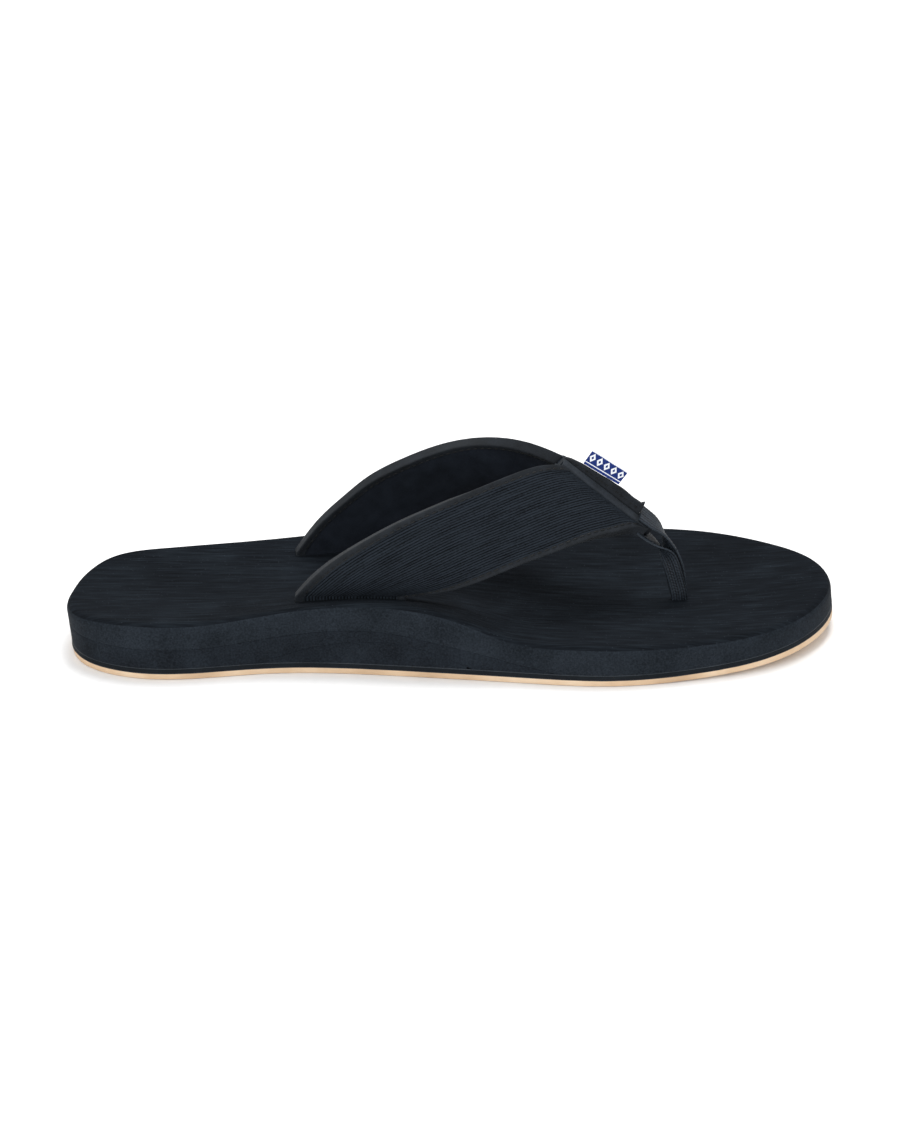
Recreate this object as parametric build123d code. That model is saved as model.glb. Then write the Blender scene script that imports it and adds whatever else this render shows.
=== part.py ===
from build123d import *
import math
import os

# Left-foot flip flop: a laminated foam sole on a thin rubber outsole, two padded
# strap halves joined in a bound seam over the toes, and a loop of nylon webbing
# that runs through the sole as the toe post.
#
# Millimetres. +X runs from heel to toe, +Y to the outer (lateral) side, +Z up.
# The origin is on the ground under the middle of the sole's length.

# ---- overall sizes ---------------------------------------------------------
SOLE_LENGTH = 295.0
BALL_WIDTH = 107.0
HEEL_WIDTH = 69.0
HEEL_CENTRE = -12.5        # the heel's middle lies towards the inner side
WAIST_MEDIAL = 44.0        # inner edge of the waist from the centre line
WAIST_LATERAL = 31.0       # outer edge of the waist from the centre line
WALL_LEAN = 0.10           # the side wall's shift towards the heel per mm of height

# ---- stack heights ---------------------------------------------------------
HEEL_STACK = 22.6          # ground to the footbed's inner rim at the heel
FORE_STACK = 14.4          # ground to the footbed at the ball
TOE_SPRING = 6.0           # lift of the toe end off the ground
SPRING_START = 65.0        # station where the sole leaves the ground
OUTSOLE_THICKNESS = 2.3
BASE_SHEET_THICKNESS = 2.0
COVER_THICKNESS = 1.5      # brushed sheet that forms the footbed
WEDGE_HEIGHT = 12.4        # ground to the top of the lower wedge at the heel
ARCH_INSERT_HEIGHT = 14.1  # ground to the top of the arch insert
ARCH_INSERT_EDGE = 8.0     # across position where the insert runs out
ARCH_SHELF = 4.0           # level part of the insert past the waist's inner edge
ARCH_HEADROOM = 0.5        # the roof's height over the insert there
ARCH_SINK = 1.0            # its depth under the base sheet's top where it runs out

# ---- tread -----------------------------------------------------------------
TREAD_PITCH = 8.0
TREAD_WIDTH = 2.2
TREAD_DEPTH = 1.0
TREAD_BORDER = 7.0         # plain rubber left all round the tread
TREAD_FIELDS = ((-128.0, -66.0), (8.0, 126.0))

# ---- strap halves ----------------------------------------------------------
SHELL_THICKNESS = 1.0
FOAM_THICKNESS = 1.6
LINING_THICKNESS = 0.8
STRAP_THICKNESS = SHELL_THICKNESS + FOAM_THICKNESS + LINING_THICKNESS
BINDING_THICKNESS = 0.5
BINDING_WIDTH = 3.0
STRAP_SPANS = 12
TURN_START = 0.6           # share of the way where a half starts to turn to the seam
SEAT_GAP = 0.8             # straight part of the strap above the footbed
TAIL_DEPTH = 7.0           # how far the strap goes down into the sole
SLOT_CLEARANCE = 0.15
ANCHOR_WIDTH = 14.0
ANCHOR_THICKNESS = 1.2
ANCHOR_OVERHANG = 2.0      # anchor past each end of the strap's tail

# ---- ridge seam over the toes ----------------------------------------------
SEAM_ACROSS = -5.5         # across position of the seam's plane
RIDGE_TOP = (41.0, 71.6)   # station and height of the seam's rear end
RIDGE_LOW = (73.0, 45.0)   # station and height of its front end
RIDGE_SLOPE = 22.0         # degrees that each half falls away from the seam
MITRE = 1.1                # a layer's depth along the seam per mm of thickness
PIPING_THICKNESS = 1.6
PIPING_PROUD = 0.4         # under the webbing's lap
PIPING_BELOW = 0.8
PIPING_NOSE = 1.5          # piping past the front end of the bindings
LAP_GAP = 0.3              # from the piping's ridge to the webbing's lap
SEAM_CLEARANCE = 0.05

# The folded piping stands up as a ridge: (distance down the seam, out of it).
RIDGE_FOLD = ((-0.5, 1.0), (1.6, 1.9), (6.0, 2.9), (23.0, 4.85), (34.3, 4.7),
              (35.2, 6.0), (36.0, 3.6))

# ---- label tab, sewn along the ridge's straight middle -----------------------
LABEL_FOLD = 2             # the ridge's point where the label's run starts
LABEL_START = 0.5          # from that point
LABEL_LENGTH = 16.0
LABEL_HEIGHT = 6.0
LABEL_THICKNESS = 0.9

# ---- toe post --------------------------------------------------------------
POST_STATION = 85.8
POST_ACROSS = -8.5
WEBBING_THICKNESS = 1.3
WEBBING_WIDTH = 10.0       # over the seam
POST_WIDTH = 6.2           # gathered where it enters the sole
LAP_LENGTH = 5.0           # webbing that lies on the seam's front end
BROW_OVERHANG = 0.5        # webbing past the seam's front end before it turns down
MOUTH_HEIGHT = 1.0         # straight webbing above the footbed
LEG_GAP = 0.3              # between the two legs in the sole
PIN_RADIUS = 1.2
PIN_LENGTH = 14.0
PIN_CLEARANCE = 0.1
WASHER_GAP = 0.4           # between the pin and the washer over it
WASHER_RADIUS = 11.0
WASHER_THICKNESS = 1.2
POST_CLEARANCE = 0.15
LEG_STEPS = 10             # ruled spans of each leg
REAR_GATHER = 1.6          # the rear leg narrows this much sooner than the front

FAR = 100.0                # reach of a cutting block past the sole
SIDE_REACH = 0.58 * BALL_WIDTH  # past either side of the sole

Y_AXIS = Vector(0, 1, 0)
BASE_TOP = OUTSOLE_THICKNESS + BASE_SHEET_THICKNESS


def mix(low, high, share):
    """The value that lies a share of the way from low to high."""
    return low + (high - low) * share


def station(share):
    """Position along the sole for a share of its length, 0 at the heel."""
    return (share - 0.5) * SOLE_LENGTH


# ---- the sole's outline and its curved layers ------------------------------

SPRING_REACH = SOLE_LENGTH / 2 - SPRING_START
TOE_ARC = (SPRING_REACH ** 2 + TOE_SPRING ** 2) / (2 * TOE_SPRING)


def spring(along):
    """Height of the sole's bottom over the ground."""
    run = max(0.0, along - SPRING_START)
    return TOE_ARC - math.sqrt(TOE_ARC ** 2 - run ** 2)


def outline(inset):
    """Closed outline of the sole where its wall would meet the ground, drawn inset."""
    back = -SOLE_LENGTH / 2 + WALL_LEAN * HEEL_STACK + inset
    front = SOLE_LENGTH / 2 + WALL_LEAN * TOE_SPRING - inset

    def heel(share, across):
        return mix(back, front, share), HEEL_CENTRE + across * (HEEL_WIDTH / 2 - inset)

    def waist(share, across):
        reach = WAIST_LATERAL if across > 0 else WAIST_MEDIAL
        return mix(back, front, share), across * (reach - inset)

    def ball(share, across):
        return mix(back, front, share), across * (BALL_WIDTH / 2 - inset)

    points = [
        heel(-0.004, 0.02), heel(0.029, -0.80), heel(0.086, -1.0),
        waist(0.246, -0.989), waist(0.415, -1.023),
        ball(0.585, -0.953), ball(0.686, -1.0), ball(0.805, -0.907),
        ball(0.907, -0.72), ball(0.970, -0.41), ball(0.992, -0.13),
        ball(0.993, 0.11), ball(0.977, 0.37), ball(0.924, 0.685),
        ball(0.839, 0.935), ball(0.732, 1.0), ball(0.551, 0.88),
        waist(0.263, 1.0),
        heel(0.110, 1.06), heel(0.036, 0.84), heel(0.010, 0.50),
    ]
    return Face(Wire([Spline(*points, periodic=True)]))


def sole_column(inset=0.0):
    """The sole's plan carried up along its leaning wall."""
    top = HEEL_STACK + FAR
    return Solid.extrude(outline(inset), Vector(-WALL_LEAN, 0, 1) * top)


def below_ground_curve(height):
    """Everything lower than a layer that lies parallel to the ground and toe arc."""
    radius = TOE_ARC - height
    end = SOLE_LENGTH / 2 + 10
    middle = mix(SPRING_START, end, 0.5)

    def on_arc(along):
        return along, TOE_ARC - math.sqrt(radius ** 2 - (along - SPRING_START) ** 2)

    back = -SOLE_LENGTH / 2 - 10
    with BuildSketch(Plane.XZ) as profile:
        with BuildLine():
            Polyline(on_arc(end), (end, -FAR), (back, -FAR), (back, height),
                     (SPRING_START, height))
            ThreePointArc((SPRING_START, height), on_arc(middle), on_arc(end))
        make_face()
    return extrude(profile.sketch, FAR, both=True).solid()


def below_surface(rows, ruled=False):
    """Everything lower than a surface lofted through rows of (across, [(x, z)])."""
    wires = []
    for across, heights in rows:
        curve = Spline(*[(x, across, z) for x, z in heights])
        first = Vector(*(curve @ 0))
        last = Vector(*(curve @ 1))
        low_last = Vector(last.X, across, -FAR)
        low_first = Vector(first.X, across, -FAR)
        wires.append(Wire([
            curve.edge(),
            Edge.make_line(last, low_last),
            Edge.make_line(low_last, low_first),
            Edge.make_line(low_first, first),
        ]))
    return Solid.make_loft(wires, ruled=ruled)


def ruled_solid(loops):
    """A closed solid through loops of matching corners, straight between them."""
    faces = [Face(Wire.make_polygon(loops[0], close=True)),
             Face(Wire.make_polygon(loops[-1], close=True))]
    for loop, following in zip(loops, loops[1:]):
        for corner in range(len(loop)):
            after = (corner + 1) % len(loop)
            faces.append(Face.make_surface_from_curves(
                Edge.make_line(loop[corner], loop[after]),
                Edge.make_line(following[corner], following[after])))
    return Solid(Shell(faces))


# Footbed heights as (share of length, share of the way up from the forefoot's
# stack to the heel's). The inner rim rises over the arch.
FOOTBED_MEDIAL = (
    (-0.03, 0.72), (0.09, 1.0), (0.19, 1.02), (0.30, 1.58), (0.38, 1.82),
    (0.46, 1.61), (0.515, 1.05), (0.56, 0.42), (0.65, 0.12), (0.80, 0.0), (1.03, -0.12),
)
FOOTBED_CENTRE = (
    (-0.03, 0.62), (0.09, 0.64), (0.19, 0.68), (0.30, 0.80), (0.38, 0.86),
    (0.46, 0.72), (0.515, 0.48), (0.56, 0.22), (0.65, -0.04), (0.80, -0.10), (1.03, -0.15),
)
FOOTBED_LATERAL = (
    (-0.03, 0.66), (0.09, 0.76), (0.19, 0.78), (0.30, 0.77), (0.38, 0.74),
    (0.46, 0.58), (0.515, 0.40), (0.56, 0.20), (0.65, 0.04), (0.80, -0.04), (1.03, -0.12),
)
FOOTBED_ROWS = (
    (-62.0, FOOTBED_MEDIAL, 0.6), (-44.0, FOOTBED_MEDIAL, 0.0),
    (-14.0, FOOTBED_CENTRE, 0.0), (22.0, FOOTBED_LATERAL, 0.0),
    (60.0, FOOTBED_LATERAL, 0.5),
)


def below_footbed(depth):
    """Everything lower than the footbed's surface sunk by a depth."""
    rows = []
    for across, shape, extra in FOOTBED_ROWS:
        heights = []
        for share, rise in shape:
            x = station(share)
            z = mix(FORE_STACK, HEEL_STACK, rise) + spring(x) + extra - depth
            heights.append((x, z))
        rows.append((across, heights))
    return below_surface(rows)


# Top of the lower wedge as (share of length, share of its height at the heel).
WEDGE_MEDIAL = (
    (-0.03, 1.0), (0.09, 1.0), (0.19, 1.01), (0.28, 1.30), (0.345, 1.51), (0.39, 1.55),
    (0.44, 1.41), (0.48, 1.18), (0.525, 0.94), (0.57, 0.66), (0.61, 0.45), (0.67, 0.05),
)
WEDGE_LATERAL = (
    (-0.03, 1.0), (0.09, 1.0), (0.19, 1.0), (0.28, 1.04), (0.345, 1.08), (0.39, 1.08),
    (0.44, 1.02), (0.48, 0.92), (0.525, 0.78), (0.57, 0.60), (0.61, 0.42), (0.67, 0.05),
)
ARCH_INSERT = (
    (0.20, -0.1), (0.27, 0.49), (0.325, 0.80), (0.365, 0.95), (0.40, 1.0),
    (0.435, 0.93), (0.48, 0.66), (0.56, -0.1),
)


def below_wedge():
    """Everything lower than the top of the lower wedge."""
    rows = []
    for across, shape in ((-SIDE_REACH, WEDGE_MEDIAL), (SIDE_REACH, WEDGE_LATERAL)):
        rows.append((across, [(station(s), rise * WEDGE_HEIGHT) for s, rise in shape]))
    return below_surface(rows, ruled=True)


def below_arch_insert():
    """The arch insert's hump on the inner side, thinning out under the foot."""
    heights = [(station(s), rise * ARCH_INSERT_HEIGHT) for s, rise in ARCH_INSERT]
    hump = below_surface([(-SIDE_REACH, heights), (ARCH_INSERT_EDGE, heights)], ruled=True)
    with BuildSketch(Plane.YZ) as roof:
        Polygon(
            (-SIDE_REACH, -FAR), (ARCH_INSERT_EDGE, -FAR),
            (ARCH_INSERT_EDGE, BASE_TOP - ARCH_SINK),
            (-WAIST_MEDIAL - ARCH_SHELF, ARCH_INSERT_HEIGHT + ARCH_HEADROOM),
            (-SIDE_REACH, ARCH_INSERT_HEIGHT + ARCH_HEADROOM),
            align=None,
        )
    return hump & extrude(roof.sketch, SOLE_LENGTH, both=True).solid()


def tread_grooves():
    """Straight grooves across the outsole, inside a plain border."""
    cutters = []
    for start, end in TREAD_FIELDS:
        count = int((end - start) / TREAD_PITCH) + 1
        for index in range(count):
            along = start + index * TREAD_PITCH
            height = spring(along) + TREAD_DEPTH
            box = Box(TREAD_WIDTH, 2 * FAR, 2 * height)
            cutters.append(Pos(along, 0, 0) * box)
    field = sole_column(TREAD_BORDER)
    return [(cutter & field).solid() for cutter in cutters]


# ---- the strap halves ------------------------------------------------------

# Each edge runs from the slot to the seam, as (share of length, across, share of
# the rise from the seat to the seam's end).
EDGES = {
    "medial": {
        "rear": (
            (0.295, -32.5, 0.0), (0.3305, -33.0, 0.26), (0.378, -31.5, 0.48),
            (0.434, -29.0, 0.675), (0.468, -27.0, 0.765), (0.515, -24.0, 0.88),
            (0.570, -18.5, 0.985), (0.612, -13.0, 1.015),
        ),
        "front": (
            (0.434, -32.5, 0.0), (0.490, -33.5, 0.17), (0.537, -32.5, 0.43),
            (0.582, -30.0, 0.70), (0.632, -26.0, 0.93), (0.688, -18.0, 1.07),
            (0.712, -14.0, 1.06), (0.7315, -10.8, 1.04),
        ),
    },
    "lateral": {
        "rear": (
            (0.288, 19.5, 0.0), (0.320, 20.0, 0.26), (0.3525, 19.5, 0.455),
            (0.385, 18.5, 0.63), (0.432, 17.0, 0.80), (0.493, 15.5, 0.95),
            (0.541, 14.0, 1.0), (0.598, 6.8, 1.01),
        ),
        "front": (
            (0.429, 26.5, 0.0), (0.459, 27.0, 0.43), (0.500, 26.5, 0.83),
            (0.547, 25.0, 1.04), (0.602, 20.5, 1.16), (0.656, 13.5, 1.17),
            (0.702, 5.5, 1.10), (0.728, 0.5, 1.06),
        ),
    },
}
SIDE_SIGN = {"medial": -1.0, "lateral": 1.0}

RIDGE_A = Vector(RIDGE_TOP[0], SEAM_ACROSS, RIDGE_TOP[1])
RIDGE_B = Vector(RIDGE_LOW[0], SEAM_ACROSS, RIDGE_LOW[1])
RIDGE_LENGTH = (RIDGE_B - RIDGE_A).length
RIDGE_ALONG = (RIDGE_B - RIDGE_A).normalized()
RIDGE_OUT = Vector(-RIDGE_ALONG.Z, 0, RIDGE_ALONG.X)
HALF_START = PIPING_THICKNESS / 2 + SEAM_CLEARANCE + BINDING_THICKNESS


def ridge_point(along, across, out):
    """A point by its distance down the seam, across it and out of it."""
    return RIDGE_A + RIDGE_ALONG * along + Y_AXIS * across + RIDGE_OUT * out


def ridge_bar(points, start, length):
    """A bar along the seam whose section is given as (across, out) points."""
    corners = [ridge_point(start, across, out) for across, out in points]
    face = Face(Wire.make_polygon(corners, close=True))
    return Solid.extrude(face, RIDGE_ALONG * length)


def footbed_height(footbed, x, y):
    """Height of the footbed at a place."""
    probe = Edge.make_line((x, y, 0), (x, y, HEEL_STACK + FAR))
    return (probe & footbed).bounding_box().max.Z


def strap_sections(side, footbed):
    """Sections of one half from its tail to the seam: rear, front, outward."""
    sign = SIDE_SIGN[side]
    rear_rows, front_rows = EDGES[side]["rear"], EDGES[side]["front"]
    ends = [(station(row[0]), row[1]) for row in (rear_rows[0], front_rows[0])]
    probes = [
        (mix(ends[0][0], ends[1][0], k / 4), mix(ends[0][1], ends[1][1], k / 4))
        for k in range(5)
    ]
    seat = max(footbed_height(footbed, x, y) for x, y in probes) + SEAT_GAP

    strip = BINDING_WIDTH * math.cos(math.radians(RIDGE_SLOPE))
    fall = BINDING_WIDTH * math.sin(math.radians(RIDGE_SLOPE))
    inner_end = [
        ridge_point(d, sign * (HALF_START + strip), -fall) for d in (0, RIDGE_LENGTH)
    ]
    end = [ridge_point(d, sign * HALF_START, 0) for d in (0, RIDGE_LENGTH)]

    def edge(rows, top, last):
        points = [(station(s), y, mix(seat, top, rise)) for s, y, rise in rows]
        return Spline(*points, tuple(last))

    rear = edge(rear_rows, RIDGE_TOP[1], inner_end[0])
    front = edge(front_rows, RIDGE_LOW[1], inner_end[1])

    slot = Vector(ends[1][0] - ends[0][0], ends[1][1] - ends[0][1], 0).normalized()
    level = Vector(slot.Y, -slot.X, 0) * -sign
    drop = Vector(0, 0, -TAIL_DEPTH - SEAT_GAP)
    sections = [(rear @ 0 + drop, front @ 0 + drop, level)]
    seam_out = RIDGE_OUT * MITRE
    for index in range(STRAP_SPANS + 1):
        t = index / STRAP_SPANS
        back, fore = rear @ t, front @ t
        run = (rear % t) + (front % t)
        out = (fore - back).cross(run).normalized() * -sign
        if index == 0:
            out = level
        ease = max(0.0, (t - TURN_START) / (1 - TURN_START))
        out = out * (1 - ease) + seam_out * ease
        sections.append((back, fore, out))
    sections.append((end[0], end[1], seam_out))
    return sections


def strap_layer(sections, outer, inner):
    """One layer of a half, between two depths under its outer face."""
    return ruled_solid([
        [back - out * outer, fore - out * outer, fore - out * inner, back - out * inner]
        for back, fore, out in sections
    ])


def edge_binding(sections, at_rear):
    """Folded tape round one long edge of a half, up to the seam's binding."""
    skin = BINDING_THICKNESS
    loops = []
    for back, fore, out in sections[:-1]:
        across = (fore - back).normalized()
        origin = back if at_rear else fore
        inward = across if at_rear else across * -1
        shape = [(-skin, skin), (BINDING_WIDTH, skin), (BINDING_WIDTH, 0), (0, 0),
                 (0, -STRAP_THICKNESS), (BINDING_WIDTH, -STRAP_THICKNESS),
                 (BINDING_WIDTH, -STRAP_THICKNESS - skin), (-skin, -STRAP_THICKNESS - skin)]
        loops.append([origin + inward * s + out * d for s, d in shape])
    return ruled_solid(loops)


def seam_binding(side):
    """Folded tape round the end of a half, along the seam."""
    sign = SIDE_SIGN[side]
    skin = BINDING_THICKNESS * MITRE
    depth = STRAP_THICKNESS * MITRE
    near = HALF_START
    web = HALF_START - BINDING_THICKNESS
    far = HALF_START + BINDING_WIDTH * math.cos(math.radians(RIDGE_SLOPE))
    fall = -BINDING_WIDTH * math.sin(math.radians(RIDGE_SLOPE))
    shape = [(web, skin), (near, skin), (far, fall + skin), (far, fall), (near, 0),
             (near, -depth), (far, fall - depth), (far, fall - depth - skin),
             (near, -depth - skin), (web, -depth - skin)]
    points = [(sign * across, out) for across, out in shape]
    return ridge_bar(points, -BINDING_THICKNESS, RIDGE_LENGTH + 2 * BINDING_THICKNESS)


def tail_slot(sections):
    """Space in the sole for a half's tail and its bindings."""
    room = BINDING_THICKNESS + SLOT_CLEARANCE
    back, fore, out = sections[0]
    across = (fore - back).normalized()
    back, fore = back - across * room, fore + across * room
    thick = STRAP_THICKNESS + room
    corners = [back + out * room, fore + out * room, fore - out * thick, back - out * thick]
    face = Face(Wire.make_polygon(corners, close=True))
    return Solid.extrude(face, Vector(0, 0, 2 * (TAIL_DEPTH + SEAT_GAP)))


def strap_anchor(sections):
    """Flat tape sewn under a tail and glued between the foam layers."""
    back, fore, out = sections[0]
    across = (fore - back).normalized() * ANCHOR_OVERHANG
    outer = out * (BINDING_THICKNESS + SLOT_CLEARANCE)
    inner = outer - out * ANCHOR_WIDTH
    corners = [back - across + outer, fore + across + outer,
               fore + across + inner, back - across + inner]
    face = Face(Wire.make_polygon(corners, close=True))
    return Solid.extrude(face, Vector(0, 0, -ANCHOR_THICKNESS))


# ---- the seam's piping and label -------------------------------------------

PIPING_TOP = BINDING_THICKNESS * MITRE + PIPING_PROUD
PIPING_BOTTOM = -(STRAP_THICKNESS + BINDING_THICKNESS) * MITRE - PIPING_BELOW
LAP_START = RIDGE_LENGTH - LAP_LENGTH


def seam_piping():
    """Stiff folded tape between the two halves; it stands up as a ridge."""
    low, nose = RIDGE_FOLD[0][0], RIDGE_LENGTH + PIPING_NOSE
    outline_points = [(low, PIPING_BOTTOM), *RIDGE_FOLD, (LAP_START - LAP_GAP, PIPING_TOP),
                      (nose, PIPING_TOP), (nose, PIPING_BOTTOM)]
    half = PIPING_THICKNESS / 2
    corners = [ridge_point(along, -half, out) for along, out in outline_points]
    face = Face(Wire.make_polygon(corners, close=True))
    return Solid.extrude(face, Y_AXIS * PIPING_THICKNESS)


def side_label():
    """Folded ribbon tab with a round root, standing on the ridge."""
    start, end = (ridge_point(along, 0, out)
                  for along, out in RIDGE_FOLD[LABEL_FOLD:LABEL_FOLD + 2])
    run = (end - start).normalized()
    upward = Vector(-run.Z, 0, run.X)
    lift = SEAM_CLEARANCE + LABEL_THICKNESS / 2
    frame = Plane(origin=start + run * LABEL_START + upward * lift,
                  x_dir=Y_AXIS, z_dir=run)
    turn = 1 if frame.y_dir.dot(upward) > 0 else -1
    with BuildSketch(frame) as section:
        Circle(LABEL_THICKNESS / 2)
        with Locations((0, turn * LABEL_HEIGHT / 2)):
            Rectangle(LABEL_THICKNESS, LABEL_HEIGHT)
    return extrude(section.sketch, LABEL_LENGTH).solid()


# ---- the toe post ----------------------------------------------------------

LEG_OFFSET = (WEBBING_THICKNESS + LEG_GAP) / 2
LOOP_RADIUS = PIN_RADIUS + PIN_CLEARANCE + WEBBING_THICKNESS / 2
PIN_HEIGHT = BASE_TOP + spring(POST_STATION) + SLOT_CLEARANCE + WEBBING_THICKNESS / 2 + LOOP_RADIUS
WASHER_BOTTOM = PIN_HEIGHT + PIN_RADIUS + WASHER_GAP
WASHER_TOP = WASHER_BOTTOM + WASHER_THICKNESS

# Route of each leg from the seam down to the sole, as (ahead of the seam's front
# end, above the footbed at the post, across from the seam).
FRONT_LEG = ((4.9, 28.6, -0.3), (7.7, 23.5, -0.8), (9.8, 17.1, -1.4), (11.3, 9.9, -2.0),
             (12.1, 4.5, -2.2))
REAR_LEG = ((3.3, 22.8, -1.2), (7.4, 18.9, -2.6), (10.0, 12.5, -3.6), (11.8, 6.0, -3.8))
TWIST_FRONT = (0.0, 0.1, 0.3, 0.55, 0.8, 0.95, 1.0)
TWIST_REAR = (0.0, 0.15, 0.55, 0.85, 0.97, 1.0)


def ribbon_section(centre, heading, twist, width):
    """Rectangle across the webbing; twist 0 is flat on the seam, 1 is along X."""
    angle = math.radians(90 * twist)
    side = Vector(math.sin(angle), -math.cos(angle), 0)
    heading = heading.normalized()
    side = (side - heading * side.dot(heading)).normalized()
    normal = heading.cross(side)
    half, thick = width / 2, WEBBING_THICKNESS / 2
    return [centre + side * half + normal * thick, centre - side * half + normal * thick,
            centre - side * half - normal * thick, centre + side * half - normal * thick]


def leg_stations(points, first, last):
    """Evenly spread places and headings on the smooth line through a leg's points."""
    line = Spline(*[tuple(p) for p in points], tangents=(tuple(first), tuple(last)))
    return [(line @ (k / LEG_STEPS), line % (k / LEG_STEPS)) for k in range(LEG_STEPS + 1)]


def twist_at(values, share):
    """Twist read off a row of evenly spread values."""
    place = share * (len(values) - 1)
    low = min(int(place), len(values) - 2)
    return mix(values[low], values[low + 1], place - low)


def toe_webbing(footbed):
    """One loop of webbing: over the seam, through the sole, round the pin, back up."""
    top = footbed_height(footbed, POST_STATION, POST_ACROSS)
    down, up = Vector(0, 0, -1), Vector(0, 0, 1)
    lift = PIPING_TOP + WEBBING_THICKNESS / 2
    lap = ridge_point(LAP_START, 0, lift)
    brow = ridge_point(RIDGE_LENGTH + BROW_OVERHANG, 0, lift)
    under = ridge_point(RIDGE_LENGTH + PIPING_NOSE, 0, PIPING_BOTTOM + WEBBING_THICKNESS / 2)

    def route(rows):
        return [Vector(RIDGE_LOW[0] + x, SEAM_ACROSS + y, top + z) for x, z, y in rows]

    mouth = Vector(POST_STATION, POST_ACROSS, top + MOUTH_HEIGHT)
    front_mouth = mouth + Y_AXIS * LEG_OFFSET
    rear_mouth = mouth - Y_AXIS * LEG_OFFSET
    sections = [ribbon_section(lap, RIDGE_ALONG, 0, WEBBING_WIDTH)]
    for index, (place, heading) in enumerate(
            leg_stations([brow, *route(FRONT_LEG), front_mouth], RIDGE_ALONG, down)):
        share = index / LEG_STEPS
        width = mix(WEBBING_WIDTH, POST_WIDTH, share)
        heading = RIDGE_ALONG if index == 0 else heading
        sections.append(ribbon_section(place, heading, twist_at(TWIST_FRONT, share), width))

    pin = Vector(POST_STATION, POST_ACROSS, PIN_HEIGHT)
    neck = Vector(POST_STATION, POST_ACROSS, WASHER_BOTTOM)
    sections.append(ribbon_section(neck + Y_AXIS * LEG_OFFSET, down, 1, POST_WIDTH))
    for turn in range(-30, 211, 30):
        angle = math.radians(turn)
        place = pin + Vector(0, math.cos(angle), -math.sin(angle)) * LOOP_RADIUS
        heading = Vector(0, -math.sin(angle), -math.cos(angle))
        sections.append(ribbon_section(place, heading, 1, POST_WIDTH))
    sections.append(ribbon_section(neck - Y_AXIS * LEG_OFFSET, up, 1, POST_WIDTH))

    rear = leg_stations([under, *route(REAR_LEG), rear_mouth], RIDGE_ALONG, down)
    for index in range(LEG_STEPS, -1, -1):
        place, heading = rear[index]
        share = index / LEG_STEPS
        width = mix(WEBBING_WIDTH, POST_WIDTH, min(1.0, share * REAR_GATHER))
        heading = RIDGE_ALONG if index == 0 else heading
        sections.append(
            ribbon_section(place, heading * -1, twist_at(TWIST_REAR, share), width))
    return ruled_solid(sections)


def toe_post_pin():
    """Cross pin that the webbing's loop holds under the washer."""
    place = Pos(POST_STATION, POST_ACROSS, PIN_HEIGHT) * Rot(0, 90, 0)
    return place * Cylinder(PIN_RADIUS, PIN_LENGTH)


def post_slot(length):
    """Slot for both legs of the webbing, of a given height."""
    width = POST_WIDTH + 2 * POST_CLEARANCE
    depth = 2 * WEBBING_THICKNESS + LEG_GAP + 2 * POST_CLEARANCE
    return Box(width, depth, length)


def toe_post_washer():
    """Slotted disc that spreads the pull of the webbing in the foam."""
    middle = WASHER_BOTTOM + WASHER_THICKNESS / 2
    place = Pos(POST_STATION, POST_ACROSS, middle)
    return place * (Cylinder(WASHER_RADIUS, WASHER_THICKNESS) - post_slot(FAR))


def post_cavity():
    """Recess under the washer, open to the base sheet."""
    place = Pos(POST_STATION, POST_ACROSS, WASHER_TOP / 2)
    return place * Cylinder(WASHER_RADIUS + POST_CLEARANCE, WASHER_TOP)


# ---- assembly --------------------------------------------------------------

def build():
    """Every piece of the flip flop by the name of its node."""
    column = sole_column()
    footbed = below_footbed(0)
    under_cover = below_footbed(COVER_THICKNESS)
    wedge_zone = below_wedge()
    insert_zone = below_arch_insert()
    rubber_zone = below_ground_curve(OUTSOLE_THICKNESS)
    base_zone = below_ground_curve(BASE_TOP)
    ground = below_ground_curve(0)

    halves = {side: strap_sections(side, footbed) for side in SIDE_SIGN}
    slots = [tail_slot(sections) for sections in halves.values()]
    anchors = {side: strap_anchor(sections) for side, sections in halves.items()}
    post_hole = Pos(POST_STATION, POST_ACROSS, 0) * post_slot(2 * FAR)

    pieces = {}
    rubber = (column & rubber_zone) - ground
    pieces["outsole"] = rubber - tread_grooves()
    pieces["base_sheet"] = (column & base_zone) - rubber_zone
    foam = column - base_zone
    pieces["arch_insert"] = foam & insert_zone
    wedge = (foam & wedge_zone) - insert_zone
    pieces["heel_wedge"] = wedge - [*anchors.values(), *slots]
    upper = (foam & under_cover) - wedge_zone - insert_zone
    pieces["midsole"] = upper - [*anchors.values(), *slots, post_cavity(), post_hole]
    pieces["footbed_cover"] = (foam & footbed) - under_cover - [*slots, post_hole]

    shell, foam_end = SHELL_THICKNESS, SHELL_THICKNESS + FOAM_THICKNESS
    for side, sections in halves.items():
        pieces[side + "_strap_shell"] = strap_layer(sections, 0, shell)
        pieces[side + "_strap_foam"] = strap_layer(sections, shell, foam_end)
        pieces[side + "_strap_lining"] = strap_layer(sections, foam_end, STRAP_THICKNESS)
        pieces[side + "_rear_binding"] = edge_binding(sections, at_rear=True)
        pieces[side + "_front_binding"] = edge_binding(sections, at_rear=False)
        pieces[side + "_seam_binding"] = seam_binding(side)
        pieces[side + "_strap_anchor"] = anchors[side]

    pieces["seam_piping"] = seam_piping()
    pieces["side_label"] = side_label()
    pieces["toe_webbing"] = toe_webbing(footbed)
    pieces["toe_post_pin"] = toe_post_pin()
    pieces["toe_post_washer"] = toe_post_washer()
    return pieces


os.makedirs("parts", exist_ok=True)
for name, piece in build().items():
    export_step(piece, "parts/" + name + ".step")
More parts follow.
